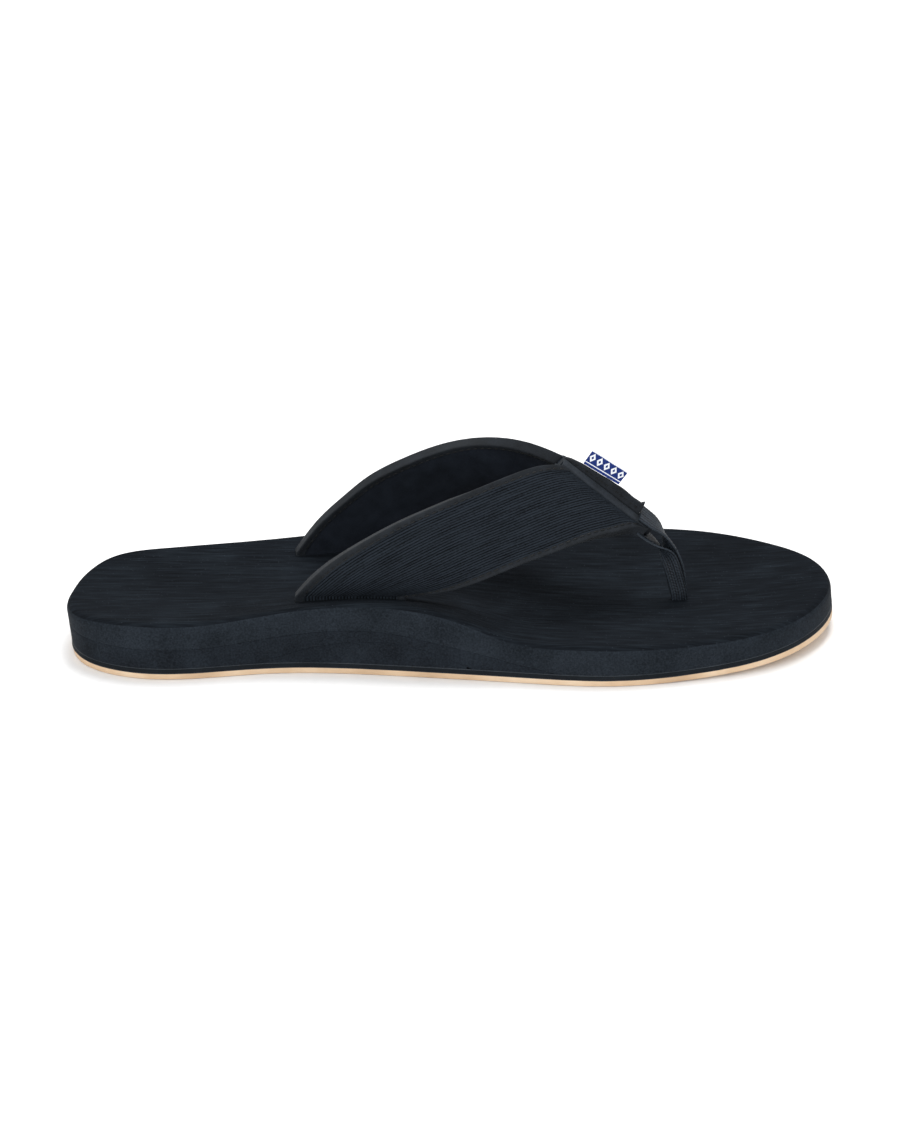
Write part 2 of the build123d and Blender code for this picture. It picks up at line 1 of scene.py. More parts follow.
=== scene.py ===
"""Finished look of a left-foot flip flop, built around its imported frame.

The sole is a stack of buffed EVA foam on a thin gum rubber outsole, with a brushed
top sheet as the footbed. Two padded straps of ribbed textile meet in a bound seam
that stands up as a ridge over the toes, and a loop of nylon webbing is the toe post.
Lengths are in millimetres until a mesh is finished, when they become metres.
"""

from __future__ import annotations

import logging
import math
import random
from dataclasses import dataclass, field
from enum import Enum
from typing import Callable, Sequence

import bmesh
import bpy
import numpy as np
from mathutils import Matrix, Vector, noise
from mathutils.bvhtree import BVHTree

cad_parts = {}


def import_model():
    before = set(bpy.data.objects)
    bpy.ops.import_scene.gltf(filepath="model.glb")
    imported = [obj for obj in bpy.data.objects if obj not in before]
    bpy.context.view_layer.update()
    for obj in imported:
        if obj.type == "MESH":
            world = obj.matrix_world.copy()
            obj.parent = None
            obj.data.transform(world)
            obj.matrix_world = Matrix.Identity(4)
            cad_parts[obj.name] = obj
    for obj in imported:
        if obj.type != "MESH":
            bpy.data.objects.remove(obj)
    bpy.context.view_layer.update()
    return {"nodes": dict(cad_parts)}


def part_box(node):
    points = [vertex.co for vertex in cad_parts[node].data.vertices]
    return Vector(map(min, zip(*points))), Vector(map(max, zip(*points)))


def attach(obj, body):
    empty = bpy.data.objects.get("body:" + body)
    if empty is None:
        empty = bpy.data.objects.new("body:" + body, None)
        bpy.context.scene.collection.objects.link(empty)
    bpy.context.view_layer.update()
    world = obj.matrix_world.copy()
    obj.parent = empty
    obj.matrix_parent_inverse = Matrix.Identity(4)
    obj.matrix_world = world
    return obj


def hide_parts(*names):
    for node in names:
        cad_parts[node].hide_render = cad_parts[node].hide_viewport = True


MM = 0.001
BALL_WIDTH = 107.0
WELD = 0.002 * MM  # places nearer than this are one
UV_UNIT = 10.0  # one unit of a piece's UV map is this many millimetres
LOG = logging.getLogger("flip_flop")

Settings = dict[str | int, object]
Links = dict[str | int, bpy.types.NodeSocket]
Row = list[Vector]


class Body(str, Enum):
    """The bodies that pieces ride on."""

    SANDAL = "sandal"
    LABEL = "label_tab"


class Side(Enum):
    """A half of the strap, by the side of the foot it comes up on."""

    MEDIAL = -1
    LATERAL = 1

    @property
    def label(self) -> str:
        """The half's name as it stands in node names."""
        return self.name.lower()


# ---- colour and nodes --------------------------------------------------------


def linear(hex_colour: str) -> tuple[float, float, float, float]:
    """Turns an sRGB hex colour to linear.

    Args:
        hex_colour: six hex digits after a hash sign.

    Returns:
        Red, green, blue and alpha.
    """
    parts = [int(hex_colour[k:k + 2], 16) / 255 for k in (1, 3, 5)]
    red, green, blue = (
        c / 12.92 if c <= 0.04045 else ((c + 0.055) / 1.055) ** 2.4 for c in parts
    )
    return red, green, blue, 1.0


def add_node(tree: bpy.types.NodeTree, kind: str, settings: Settings | None = None,
             links: Links | None = None) -> bpy.types.Node:
    """Adds one node with its settings and links.

    Args:
        tree: the material's node tree.
        kind: the node's type name.
        settings: lower-case names are the node's own properties, "ramp" is a colour
            ramp's stops, and other names and numbers are sockets.
        links: sockets of the new node, each with the output that feeds it.

    Returns:
        The new node.
    """
    node = tree.nodes.new(kind)
    for name, value in (settings or {}).items():
        if name == "ramp":
            stops = node.color_ramp.elements
            while len(stops) < len(value):
                stops.new(0.5)
            for stop, (place, colour) in zip(stops, value):
                stop.position, stop.color = place, linear(colour)
        elif isinstance(name, str) and name.islower():
            setattr(node, name, value)
        else:
            node.inputs[name].default_value = value
    for socket, source in (links or {}).items():
        tree.links.new(source, node.inputs[socket])
    return node


def size_scale(*sizes: float) -> tuple[float, float, float]:
    """Mapping scale for a pattern of these sizes in millimetres on object coordinates."""
    x, y, z = sizes if len(sizes) == 3 else sizes * 3
    return 1 / (x * MM), 1 / (y * MM), 1 / (z * MM)


def uv_scale(across: float, along: float) -> tuple[float, float, float]:
    """Mapping scale for a pattern of these sizes in millimetres on a piece's UV map."""
    return UV_UNIT / across, UV_UNIT / along, 1.0


# ---- finishes ----------------------------------------------------------------


@dataclass(frozen=True)
class Finish:
    """What each finish shares: a name, a slot name and the surface's gloss."""

    name: str
    slot: str
    roughness: float
    gloss: float = 0.1          # share of a smooth surface's mirror light
    ior: float = 1.5
    sheen: float = 0.0
    sheen_roughness: float = 0.5

    def paint(self, tree: bpy.types.NodeTree) -> Links:
        """Adds the finish's pattern and returns links for the surface."""
        raise NotImplementedError

    def material(self) -> bpy.types.Material:
        """The finish's material, made once and shared by its pieces."""
        found = bpy.data.materials.get(self.name)
        if found:
            return found
        material = bpy.data.materials.new(self.name)
        material.use_nodes = True
        tree = material.node_tree
        tree.nodes.clear()
        surface = add_node(tree, "ShaderNodeBsdfPrincipled", {
            "Roughness": self.roughness, "IOR": self.ior,
            "Specular IOR Level": self.gloss, "Sheen Weight": self.sheen,
            "Sheen Roughness": self.sheen_roughness,
        }, self.paint(tree))
        add_node(tree, "ShaderNodeOutputMaterial",
                 links={"Surface": surface.outputs["BSDF"]})
        return material


@dataclass(frozen=True)
class BrushedFoam(Finish):
    """EVA sheet buffed along its length: matt, with streaks and stray light nap."""

    dark: str = "#090c10"
    mid: str = "#11151a"
    light: str = "#1d2329"
    nap: str = "#454d56"
    streak: tuple[float, float, float] = (15.0, 0.9, 3.0)
    fluff: float = 1.9
    grain: float = 0.45

    def paint(self, tree: bpy.types.NodeTree) -> Links:
        """Streaks along the sole, fine grain and scattered specks of nap."""
        place = add_node(tree, "ShaderNodeTexCoord").outputs["Object"]
        long = add_node(tree, "ShaderNodeMapping", {"Scale": size_scale(*self.streak)},
                        {"Vector": place})
        streaks = add_node(tree, "ShaderNodeTexNoise",
                           {"Scale": 1.0, "Detail": 5.0, "Roughness": 0.62},
                           {"Vector": long.outputs["Vector"]})
        cloud = add_node(tree, "ShaderNodeTexNoise",
                         {"Scale": 1 / (24 * MM), "Detail": 2.0}, {"Vector": place})
        blend = add_node(tree, "ShaderNodeMath",
                         {"operation": "MULTIPLY_ADD", 1: 0.72},
                         {0: streaks.outputs["Fac"]})
        soft = add_node(tree, "ShaderNodeMath", {"operation": "MULTIPLY", 1: 0.28},
                        {0: cloud.outputs["Fac"]})
        tree.links.new(soft.outputs[0], blend.inputs[2])
        colour = add_node(tree, "ShaderNodeValToRGB",
                          {"ramp": ((0.34, self.dark), (0.5, self.mid), (0.68, self.light))},
                          {"Fac": blend.outputs[0]})
        dots = add_node(tree, "ShaderNodeTexVoronoi",
                        {"feature": "F1", "Scale": 1 / (self.fluff * MM)},
                        {"Vector": place})
        speck = add_node(tree, "ShaderNodeMapRange",
                         {"From Min": 0.04, "From Max": 0.12, "To Min": 0.45, "To Max": 0.0},
                         {"Value": dots.outputs["Distance"]})
        base = add_node(tree, "ShaderNodeMix",
                        {"data_type": "RGBA", 7: linear(self.nap)},
                        {0: speck.outputs[0], 6: colour.outputs["Color"]})
        grain = add_node(tree, "ShaderNodeTexNoise",
                         {"Scale": 1 / (self.grain * MM), "Detail": 3.0}, {"Vector": place})
        rough = add_node(tree, "ShaderNodeBump", {"Strength": 0.55, "Distance": 0.10 * MM},
                         {"Height": grain.outputs["Fac"]})
        brushed = add_node(tree, "ShaderNodeBump", {"Strength": 0.5, "Distance": 0.22 * MM},
                           {"Height": streaks.outputs["Fac"], "Normal": rough.outputs[0]})
        return {"Base Color": base.outputs[2], "Normal": brushed.outputs[0]}


@dataclass(frozen=True)
class BuffedFoam(Finish):
    """EVA foam whose cut wall was sanded: closed cells show as a fine even pebble."""

    dark: str = "#0f1419"
    light: str = "#242a31"
    cell: float = 0.7
    cloud: float = 16.0

    def paint(self, tree: bpy.types.NodeTree) -> Links:
        """Pebbled cells over a faint wide mottle."""
        place = add_node(tree, "ShaderNodeTexCoord").outputs["Object"]
        cells = add_node(tree, "ShaderNodeTexNoise",
                         {"Scale": 1 / (self.cell * MM), "Detail": 3.0, "Roughness": 0.6},
                         {"Vector": place})
        cloud = add_node(tree, "ShaderNodeTexNoise",
                         {"Scale": 1 / (self.cloud * MM), "Detail": 2.0},
                         {"Vector": place})
        blend = add_node(tree, "ShaderNodeMath", {"operation": "MULTIPLY_ADD", 1: 0.6},
                         {0: cells.outputs["Fac"]})
        wide = add_node(tree, "ShaderNodeMath", {"operation": "MULTIPLY", 1: 0.4},
                        {0: cloud.outputs["Fac"]})
        tree.links.new(wide.outputs[0], blend.inputs[2])
        colour = add_node(tree, "ShaderNodeValToRGB",
                          {"ramp": ((0.36, self.dark), (0.64, self.light))},
                          {"Fac": blend.outputs[0]})
        pebble = add_node(tree, "ShaderNodeBump", {"Strength": 0.6, "Distance": 0.12 * MM},
                          {"Height": cells.outputs["Fac"]})
        return {"Base Color": colour.outputs["Color"], "Normal": pebble.outputs[0]}


@dataclass(frozen=True)
class GumRubber(Finish):
    """Moulded gum rubber: tan, satin, a little darker where it has been handled."""

    dark: str = "#bfa182"
    mid: str = "#d2b595"
    light: str = "#dfc7ab"
    grit: float = 0.5

    def paint(self, tree: bpy.types.NodeTree) -> Links:
        """Mottled tan with a fine moulded grit."""
        place = add_node(tree, "ShaderNodeTexCoord").outputs["Object"]
        cloud = add_node(tree, "ShaderNodeTexNoise",
                         {"Scale": 1 / (20 * MM), "Detail": 4.0}, {"Vector": place})
        colour = add_node(tree, "ShaderNodeValToRGB",
                          {"ramp": ((0.3, self.dark), (0.5, self.mid), (0.7, self.light))},
                          {"Fac": cloud.outputs["Fac"]})
        grit = add_node(tree, "ShaderNodeTexNoise",
                        {"Scale": 1 / (self.grit * MM), "Detail": 3.0}, {"Vector": place})
        bump = add_node(tree, "ShaderNodeBump", {"Strength": 0.4, "Distance": 0.06 * MM},
                        {"Height": grit.outputs["Fac"]})
        return {"Base Color": colour.outputs["Color"], "Normal": bump.outputs[0]}


@dataclass(frozen=True)
class WovenTextile(Finish):
    """Yarns seen one by one: a painted highlight on their crowns and painted shade where they
    dive under.
    """

    dark: str = "#020304"
    light: str = "#232930"
    yarn: tuple[float, float] = (0.62, 0.9)
    relief: float = 0.12
    rib: float = 1.265          # from one rib's valley to the next

    def paint(self, tree: bpy.types.NodeTree) -> Links:
        """Short yarn floats that run with the piece, broken up a little."""
        place = add_node(tree, "ShaderNodeTexCoord").outputs["UV"]
        yarns = add_node(tree, "ShaderNodeMapping", {"Scale": uv_scale(*self.yarn)},
                         {"Vector": place})
        floats = add_node(tree, "ShaderNodeTexNoise",
                          {"Scale": 1.0, "Detail": 2.0, "Roughness": 0.7, "Distortion": 0.3},
                          {"Vector": yarns.outputs["Vector"]})
        slubs = add_node(tree, "ShaderNodeMapping", {"Scale": uv_scale(1.25, 14.0)},
                         {"Vector": place})
        worn = add_node(tree, "ShaderNodeTexNoise", {"Scale": 1.0, "Detail": 3.0},
                        {"Vector": slubs.outputs["Vector"]})
        # The yarn floats' colour follows the same noise as their bump: painted highlight on the
        # high yarn, painted shade on the low.
        mixed = add_node(tree, "ShaderNodeMath", {"operation": "MULTIPLY_ADD", 1: 0.45},
                         {0: floats.outputs["Fac"]})
        share = add_node(tree, "ShaderNodeMath", {"operation": "MULTIPLY", 1: 0.35},
                         {0: worn.outputs["Fac"]})
        tree.links.new(share.outputs[0], mixed.inputs[2])
        # Each rib is painted lighter over its crown and darker into its valleys: painted
        # highlight and painted shade of the ribs.
        parts = add_node(tree, "ShaderNodeSeparateXYZ", links={0: place})
        valley = add_node(tree, "ShaderNodeMath",
                          {"operation": "PINGPONG", 1: self.rib / UV_UNIT / 2},
                          {0: parts.outputs[0]})
        crown = add_node(tree, "ShaderNodeMapRange",
                         {"From Max": self.rib / UV_UNIT / 4, "To Max": 0.26},
                         {"Value": valley.outputs[0]})
        shade = add_node(tree, "ShaderNodeMath", {"operation": "ADD"},
                         {0: mixed.outputs[0], 1: crown.outputs[0]})
        colour = add_node(tree, "ShaderNodeValToRGB",
                          {"ramp": ((0.46, self.dark), (0.68, self.light))},
                          {"Fac": shade.outputs[0]})
        bump = add_node(tree, "ShaderNodeBump",
                        {"Strength": 0.8, "Distance": self.relief * MM},
                        {"Height": floats.outputs["Fac"]})
        return {"Base Color": colour.outputs["Color"], "Normal": bump.outputs[0]}


@dataclass(frozen=True)
class NapFabric(Finish):
    """Microfibre with a short even nap: soft, dark and a little cloudy."""

    dark: str = "#101317"
    light: str = "#1b1f24"
    fibre: float = 0.4
    cloud: float = 6.0
    relief: float = 0.06

    def paint(self, tree: bpy.types.NodeTree) -> Links:
        """Fine fibre grain over soft clouds of shade."""
        place = add_node(tree, "ShaderNodeTexCoord").outputs["Object"]
        fibre = add_node(tree, "ShaderNodeTexNoise",
                         {"Scale": 1 / (self.fibre * MM), "Detail": 3.0, "Roughness": 0.7},
                         {"Vector": place})
        cloud = add_node(tree, "ShaderNodeTexNoise",
                         {"Scale": 1 / (self.cloud * MM), "Detail": 3.0},
                         {"Vector": place})
        blend = add_node(tree, "ShaderNodeMath", {"operation": "MULTIPLY_ADD", 1: 0.5},
                         {0: fibre.outputs["Fac"]})
        wide = add_node(tree, "ShaderNodeMath", {"operation": "MULTIPLY", 1: 0.5},
                        {0: cloud.outputs["Fac"]})
        tree.links.new(wide.outputs[0], blend.inputs[2])
        colour = add_node(tree, "ShaderNodeValToRGB",
                          {"ramp": ((0.35, self.dark), (0.65, self.light))},
                          {"Fac": blend.outputs[0]})
        bump = add_node(tree, "ShaderNodeBump",
                        {"Strength": 0.6, "Distance": self.relief * MM},
                        {"Height": fibre.outputs["Fac"]})
        return {"Base Color": colour.outputs["Color"], "Normal": bump.outputs[0]}


@dataclass(frozen=True)
class RibbonWeave(Finish):
    """Woven polyester ribbon: satin blue ground with white yarn brought to the face."""

    ground: str = "#12307c"
    shade: str = "#0b1f57"
    figure: str = "#e9edf2"
    thread: float = 0.34
    pitch: float = 3.2
    fold: float = 6.55      # distance along the ribbon from its end to its fold
    row: float = 3.2        # distance of the figures from the fold

    def paint(self, tree: bpy.types.NodeTree) -> Links:
        """A row of plain lozenges between two fine lines, on both faces of the tab."""
        place = add_node(tree, "ShaderNodeTexCoord").outputs["UV"]
        parts = add_node(tree, "ShaderNodeSeparateXYZ", links={0: place})

        def math_node(operation: str, first: object, second: object) -> object:
            """One step of arithmetic on sockets or numbers."""
            step: Settings = {"operation": operation}
            feed: Links = {}
            for slot, value in enumerate((first, second)):
                (step if isinstance(value, float) else feed)[slot] = value
            return add_node(tree, "ShaderNodeMath", step, feed).outputs[0]

        across = math_node("MULTIPLY", parts.outputs[0], UV_UNIT)
        along = math_node("MULTIPLY", parts.outputs[1], UV_UNIT)
        height = math_node("ABSOLUTE", math_node("SUBTRACT", across, self.fold), 0.0)
        level = math_node("ABSOLUTE", math_node("SUBTRACT", height, self.row), 0.0)
        centred = math_node("ADD", along, self.pitch / 2)
        step = math_node("PINGPONG", centred, self.pitch / 2)
        lozenge = math_node("ADD", math_node("DIVIDE", step, 1.25),
                            math_node("DIVIDE", level, 1.7))
        inside = math_node("LESS_THAN", lozenge, 1.0)
        core = math_node("GREATER_THAN", lozenge, 0.42)
        ring = math_node("MULTIPLY", inside, core)
        line = math_node("LESS_THAN", math_node(
            "ABSOLUTE", math_node("SUBTRACT", level, 2.25), 0.0), 0.16)
        mask = math_node("MAXIMUM", ring, line)
        threads = add_node(tree, "ShaderNodeMapping",
                           {"Scale": uv_scale(self.thread * 2, self.thread)},
                           {"Vector": place})
        weave = add_node(tree, "ShaderNodeTexChecker", {"Scale": 1.0},
                         {"Vector": threads.outputs["Vector"]})
        ground = add_node(tree, "ShaderNodeMix",
                          {"data_type": "RGBA", 6: linear(self.shade),
                           7: linear(self.ground)}, {0: weave.outputs["Fac"]})
        colour = add_node(tree, "ShaderNodeMix",
                          {"data_type": "RGBA", 7: linear(self.figure)},
                          {0: mask, 6: ground.outputs[2]})
        bump = add_node(tree, "ShaderNodeBump", {"Strength": 0.5, "Distance": 0.05 * MM},
                        {"Height": weave.outputs["Fac"]})
        return {"Base Color": colour.outputs[2], "Normal": bump.outputs[0]}


class Finishes:
    """Every finish of the flip flop and its stage."""

    # EVA sheet buffed lengthwise: matt and dark, with soft streaks and pale nap.
    FOOTBED = BrushedFoam("buffed EVA top sheet", "footbed", 0.95, gloss=0.06)
    # EVA whose cut wall was sanded: a shade lighter than the top, finely pebbled.
    MIDSOLE = BuffedFoam("sanded EVA midsole", "midsole_foam", 0.8, gloss=0.08)
    # The same foam from another sheet, so the wedge reads as a darker band.
    WEDGE = BuffedFoam("sanded EVA wedge", "wedge_foam", 0.8, gloss=0.08,
                       dark="#0d1116", light="#20262d")
    # Dense EVA, trimmed with a knife: smooth, dark and barely satin.
    BASE = BuffedFoam("dense EVA base sheet", "base_foam", 0.7, gloss=0.1,
                      dark="#0e1216", light="#191e23", cell=0.5)
    # Contact cement dried in a bead: a fine paler line with a slight shine.
    GLUE = BuffedFoam("dried contact cement", "base_foam", 0.5, gloss=0.2,
                      dark="#1d2227", light="#32383f", cell=0.6)
    # Gum rubber out of a mould: tan and satin, with a faint grit.
    OUTSOLE = GumRubber("moulded gum rubber", "outsole_rubber", 0.62, gloss=0.3)
    # Polyester woven over cords: matt ribs, painted nearly black where they dip as painted shade
    # and lighter on their crowns as painted highlight.
    SHELL = WovenTextile("ribbed polyester textile", "strap_textile", 0.85, gloss=0.08)
    # Microfibre with a short brushed nap: even, deep and cloudy.
    LINING = NapFabric("microfibre lining", "strap_lining", 0.9, gloss=0.06,
                       dark="#13171d", light="#20252d", sheen=0.02)
    # Nubuck tape folded and sewn: a little worn.
    BINDING = NapFabric("nubuck binding tape", "binding", 0.7, gloss=0.2,
                        dark="#0d1115", light="#1c2127", fibre=0.5, cloud=5.0, sheen=0.03)
    # The same tape in a paler copy, on the seam strips along the strap's top: a painted
    # highlight.
    SEAM_HIGHLIGHT_BINDING = NapFabric("worn nubuck binding tape", "binding", 0.68, gloss=0.2,
                             dark="#14191e", light="#282e35", fibre=0.5, cloud=5.0,
                             sheen=0.03)
    # Twisted polyester thread: darker than the tape, with a small glint.
    THREAD = NapFabric("polyester sewing thread", "binding", 0.45, gloss=0.3,
                       dark="#030405", light="#0c0f12", fibre=0.3)
    # Nylon webbing woven in narrow columns: dark, with a painted highlight on each yarn's crown
    # and painted shade between.
    WEBBING = WovenTextile("nylon webbing", "webbing", 0.55, gloss=0.2, dark="#040507",
                           light="#2a3139", yarn=(0.5, 0.7), relief=0.1, rib=1.5)
    # Woven polyester ribbon: a satin blue ground under flat white yarn.
    LABEL = RibbonWeave("woven polyester ribbon", "label", 0.55, gloss=0.2)
    # Nylon out of a mould, hidden in the sole: even, black and satin.
    NYLON = BuffedFoam("moulded nylon", "post_hardware", 0.45, gloss=0.4, dark="#1c1e20",
                       light="#26282a", cell=1.2)
    # Uncoated paper roll: white and without any shine.
    PAPER = BuffedFoam("studio paper", "", 0.95, dark="#f4f4f4", light="#f7f7f7",
                       cell=3.0)


# ---- meshes --------------------------------------------------------------------


class SmoothLine:
    """A natural cubic line through points, read by its share of the way along."""

    def __init__(self, points: Sequence[Sequence[float]]) -> None:
        """Fits the line.

        Args:
            points: places that the line goes through, with any number of parts.
        """
        self.points = np.array([tuple(p) for p in points], float)
        steps = np.linalg.norm(np.diff(self.points[:, :3], axis=0), axis=1)
        self.knots = np.concatenate([[0.0], np.cumsum(steps)])
        self.length = float(self.knots[-1])
        count = len(self.points)
        matrix, right = np.eye(count), np.zeros_like(self.points)
        for k in range(1, count - 1):
            before, after = steps[k - 1], steps[k]
            matrix[k, k - 1:k + 2] = before, 2 * (before + after), after
            right[k] = 6 * ((self.points[k + 1] - self.points[k]) / after
                            - (self.points[k] - self.points[k - 1]) / before)
        self.bends = np.linalg.solve(matrix, right)

    def at(self, share: float) -> np.ndarray:
        """The line's place at a share of its length."""
        reach = min(max(share, 0.0), 1.0) * self.length
        k = int(np.clip(np.searchsorted(self.knots, reach) - 1, 0, len(self.knots) - 2))
        gap = self.knots[k + 1] - self.knots[k]
        high = (reach - self.knots[k]) / gap
        low = 1 - high
        curve = (low ** 3 - low) * self.bends[k] + (high ** 3 - high) * self.bends[k + 1]
        return low * self.points[k] + high * self.points[k + 1] + curve * gap ** 2 / 6

    def place(self, share: float) -> Vector:
        """The line's place as a vector."""
        return Vector(self.at(share)[:3])

    def heading(self, share: float) -> Vector:
        """The line's direction at a share of its length."""
        step = 1e-3
        ahead, behind = min(share + step, 1.0), max(share - step, 0.0)
        return (self.place(ahead) - self.place(behind)).normalized()


def mix(low: float, high: float, share: float) -> float:
    """The value that lies a share of the way from low to high."""
    return low + (high - low) * share


def read_off(table: Sequence[tuple[float, float]], place: float) -> float:
    """A value read off a table of rising places, straight between them."""
    places, values = zip(*table)
    return float(np.interp(place, places, values))


def rounded(corners: Sequence[tuple[float, float]], radius: float,
            steps: int = 4) -> list[tuple[float, float]]:
    """A closed outline with its corners rounded off.

    Args:
        corners: the outline's corners in order.
        radius: how far before and after a corner the rounding starts, at most.
        steps: points that each rounded corner gets, less one.

    Returns:
        The rounded outline's points, without the first one repeated.
    """
    points = []
    for k, corner in enumerate(corners):
        here = Vector(corner)
        before, after = Vector(corners[k - 1]), Vector(corners[(k + 1) % len(corners)])
        back, ahead = before - here, after - here
        cut = min(radius, back.length * 0.45, ahead.length * 0.45)
        start, end = here + back.normalized() * cut, here + ahead.normalized() * cut
        for step in range(steps + 1):
            t = step / steps
            spot = start * (1 - t) ** 2 + here * 2 * t * (1 - t) + end * t ** 2
            points.append((spot.x, spot.y))
    return points


def evened(outline: Sequence[tuple[float, float]], spacing: float) -> list[tuple[float, float]]:
    """The same closed outline with extra points on its long runs."""
    points = []
    for k, here in enumerate(outline):
        after = outline[(k + 1) % len(outline)]
        run = math.dist(here, after)
        count = max(1, int(run / spacing))
        for step in range(count):
            t = step / count
            points.append((mix(here[0], after[0], t), mix(here[1], after[1], t)))
    return points


def loft(rows: Sequence[Row], width: float, length: float) -> bmesh.types.BMesh:
    """A grid laid over rows of places, with a UV map in real sizes.

    Args:
        rows: equal rows of places; a closed row repeats its first place.
        width: real length of a row in millimetres.
        length: real distance from the first row to the last.

    Returns:
        The mesh, in metres, with its matching edges joined.
    """
    columns = len(rows[0]) - 1
    bm = bmesh.new()
    bm.loops.layers.uv.new("weave")
    bmesh.ops.create_grid(bm, x_segments=columns, y_segments=len(rows) - 1, size=0.5,
                          calc_uvs=True)
    for vert in bm.verts:
        column = round((vert.co.x + 0.5) * columns)
        row = round((vert.co.y + 0.5) * (len(rows) - 1))
        vert.co = rows[row][column] * MM
    layer = bm.loops.layers.uv.active
    for face in bm.faces:
        for loop in face.loops:
            u, v = loop[layer].uv
            loop[layer].uv = u * width / UV_UNIT, v * length / UV_UNIT
    bmesh.ops.remove_doubles(bm, verts=bm.verts, dist=WELD)
    return bm


def close_ends(bm: bmesh.types.BMesh) -> None:
    """Fills the open ends of a tube."""
    edges = [edge for edge in bm.edges if edge.is_boundary]
    if edges:
        bmesh.ops.holes_fill(bm, edges=edges)


def finished(name: str, bm: bmesh.types.BMesh, finish: Finish,
             replaces: Sequence[str] = (), body: Body = Body.SANDAL,
             sharp: float = 50.0) -> bpy.types.Object:
    """Makes a mesh into a piece that rides on its body.

    Args:
        name: the piece's name.
        bm: its mesh in metres, which is used up.
        finish: its finish.
        replaces: the frame's nodes that it stands for.
        body: the body it rides on.
        sharp: angle in degrees past which an edge stays sharp.

    Returns:
        The piece's object.
    """
    bmesh.ops.recalc_face_normals(bm, faces=bm.faces)
    mesh = bpy.data.meshes.new(name)
    bm.to_mesh(mesh)
    bm.free()
    mesh.shade_smooth()
    mesh.set_sharp_from_angle(angle=math.radians(sharp))
    mesh.materials.append(finish.material())
    piece = bpy.data.objects.new(name, mesh)
    bpy.context.scene.collection.objects.link(piece)
    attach(piece, body.value)
    if replaces:
        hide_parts(*replaces)
    LOG.info("%s: %d faces", name, len(mesh.polygons))
    return piece


# ---- the sole --------------------------------------------------------------------


@dataclass
class Column:
    """A slice of the sole from its wall to its core line."""

    wall: Vector            # where the wall would meet the ground
    core: Vector            # the slice's end on the core line
    lean: float

    def at_wall(self, height: float) -> Vector:
        """The wall's place at a height."""
        return Vector((self.wall.x - self.lean * height, self.wall.y, height))

    def inside(self, depth: float, height: float) -> Vector:
        """A place at a depth in from the wall, no further than the core line."""
        start = self.at_wall(height)
        way = Vector((self.core.x - start.x, self.core.y - start.y, 0))
        reach = way.length
        return start + way * min(1.0, depth / reach)

    def spread(self, start: float, count: int, height: float = 15.0) -> list[float]:
        """Depths from a start to the core line, evenly apart."""
        reach = (self.core - self.at_wall(height)).to_2d().length
        return [mix(start, reach, k / count) for k in range(count + 1)]


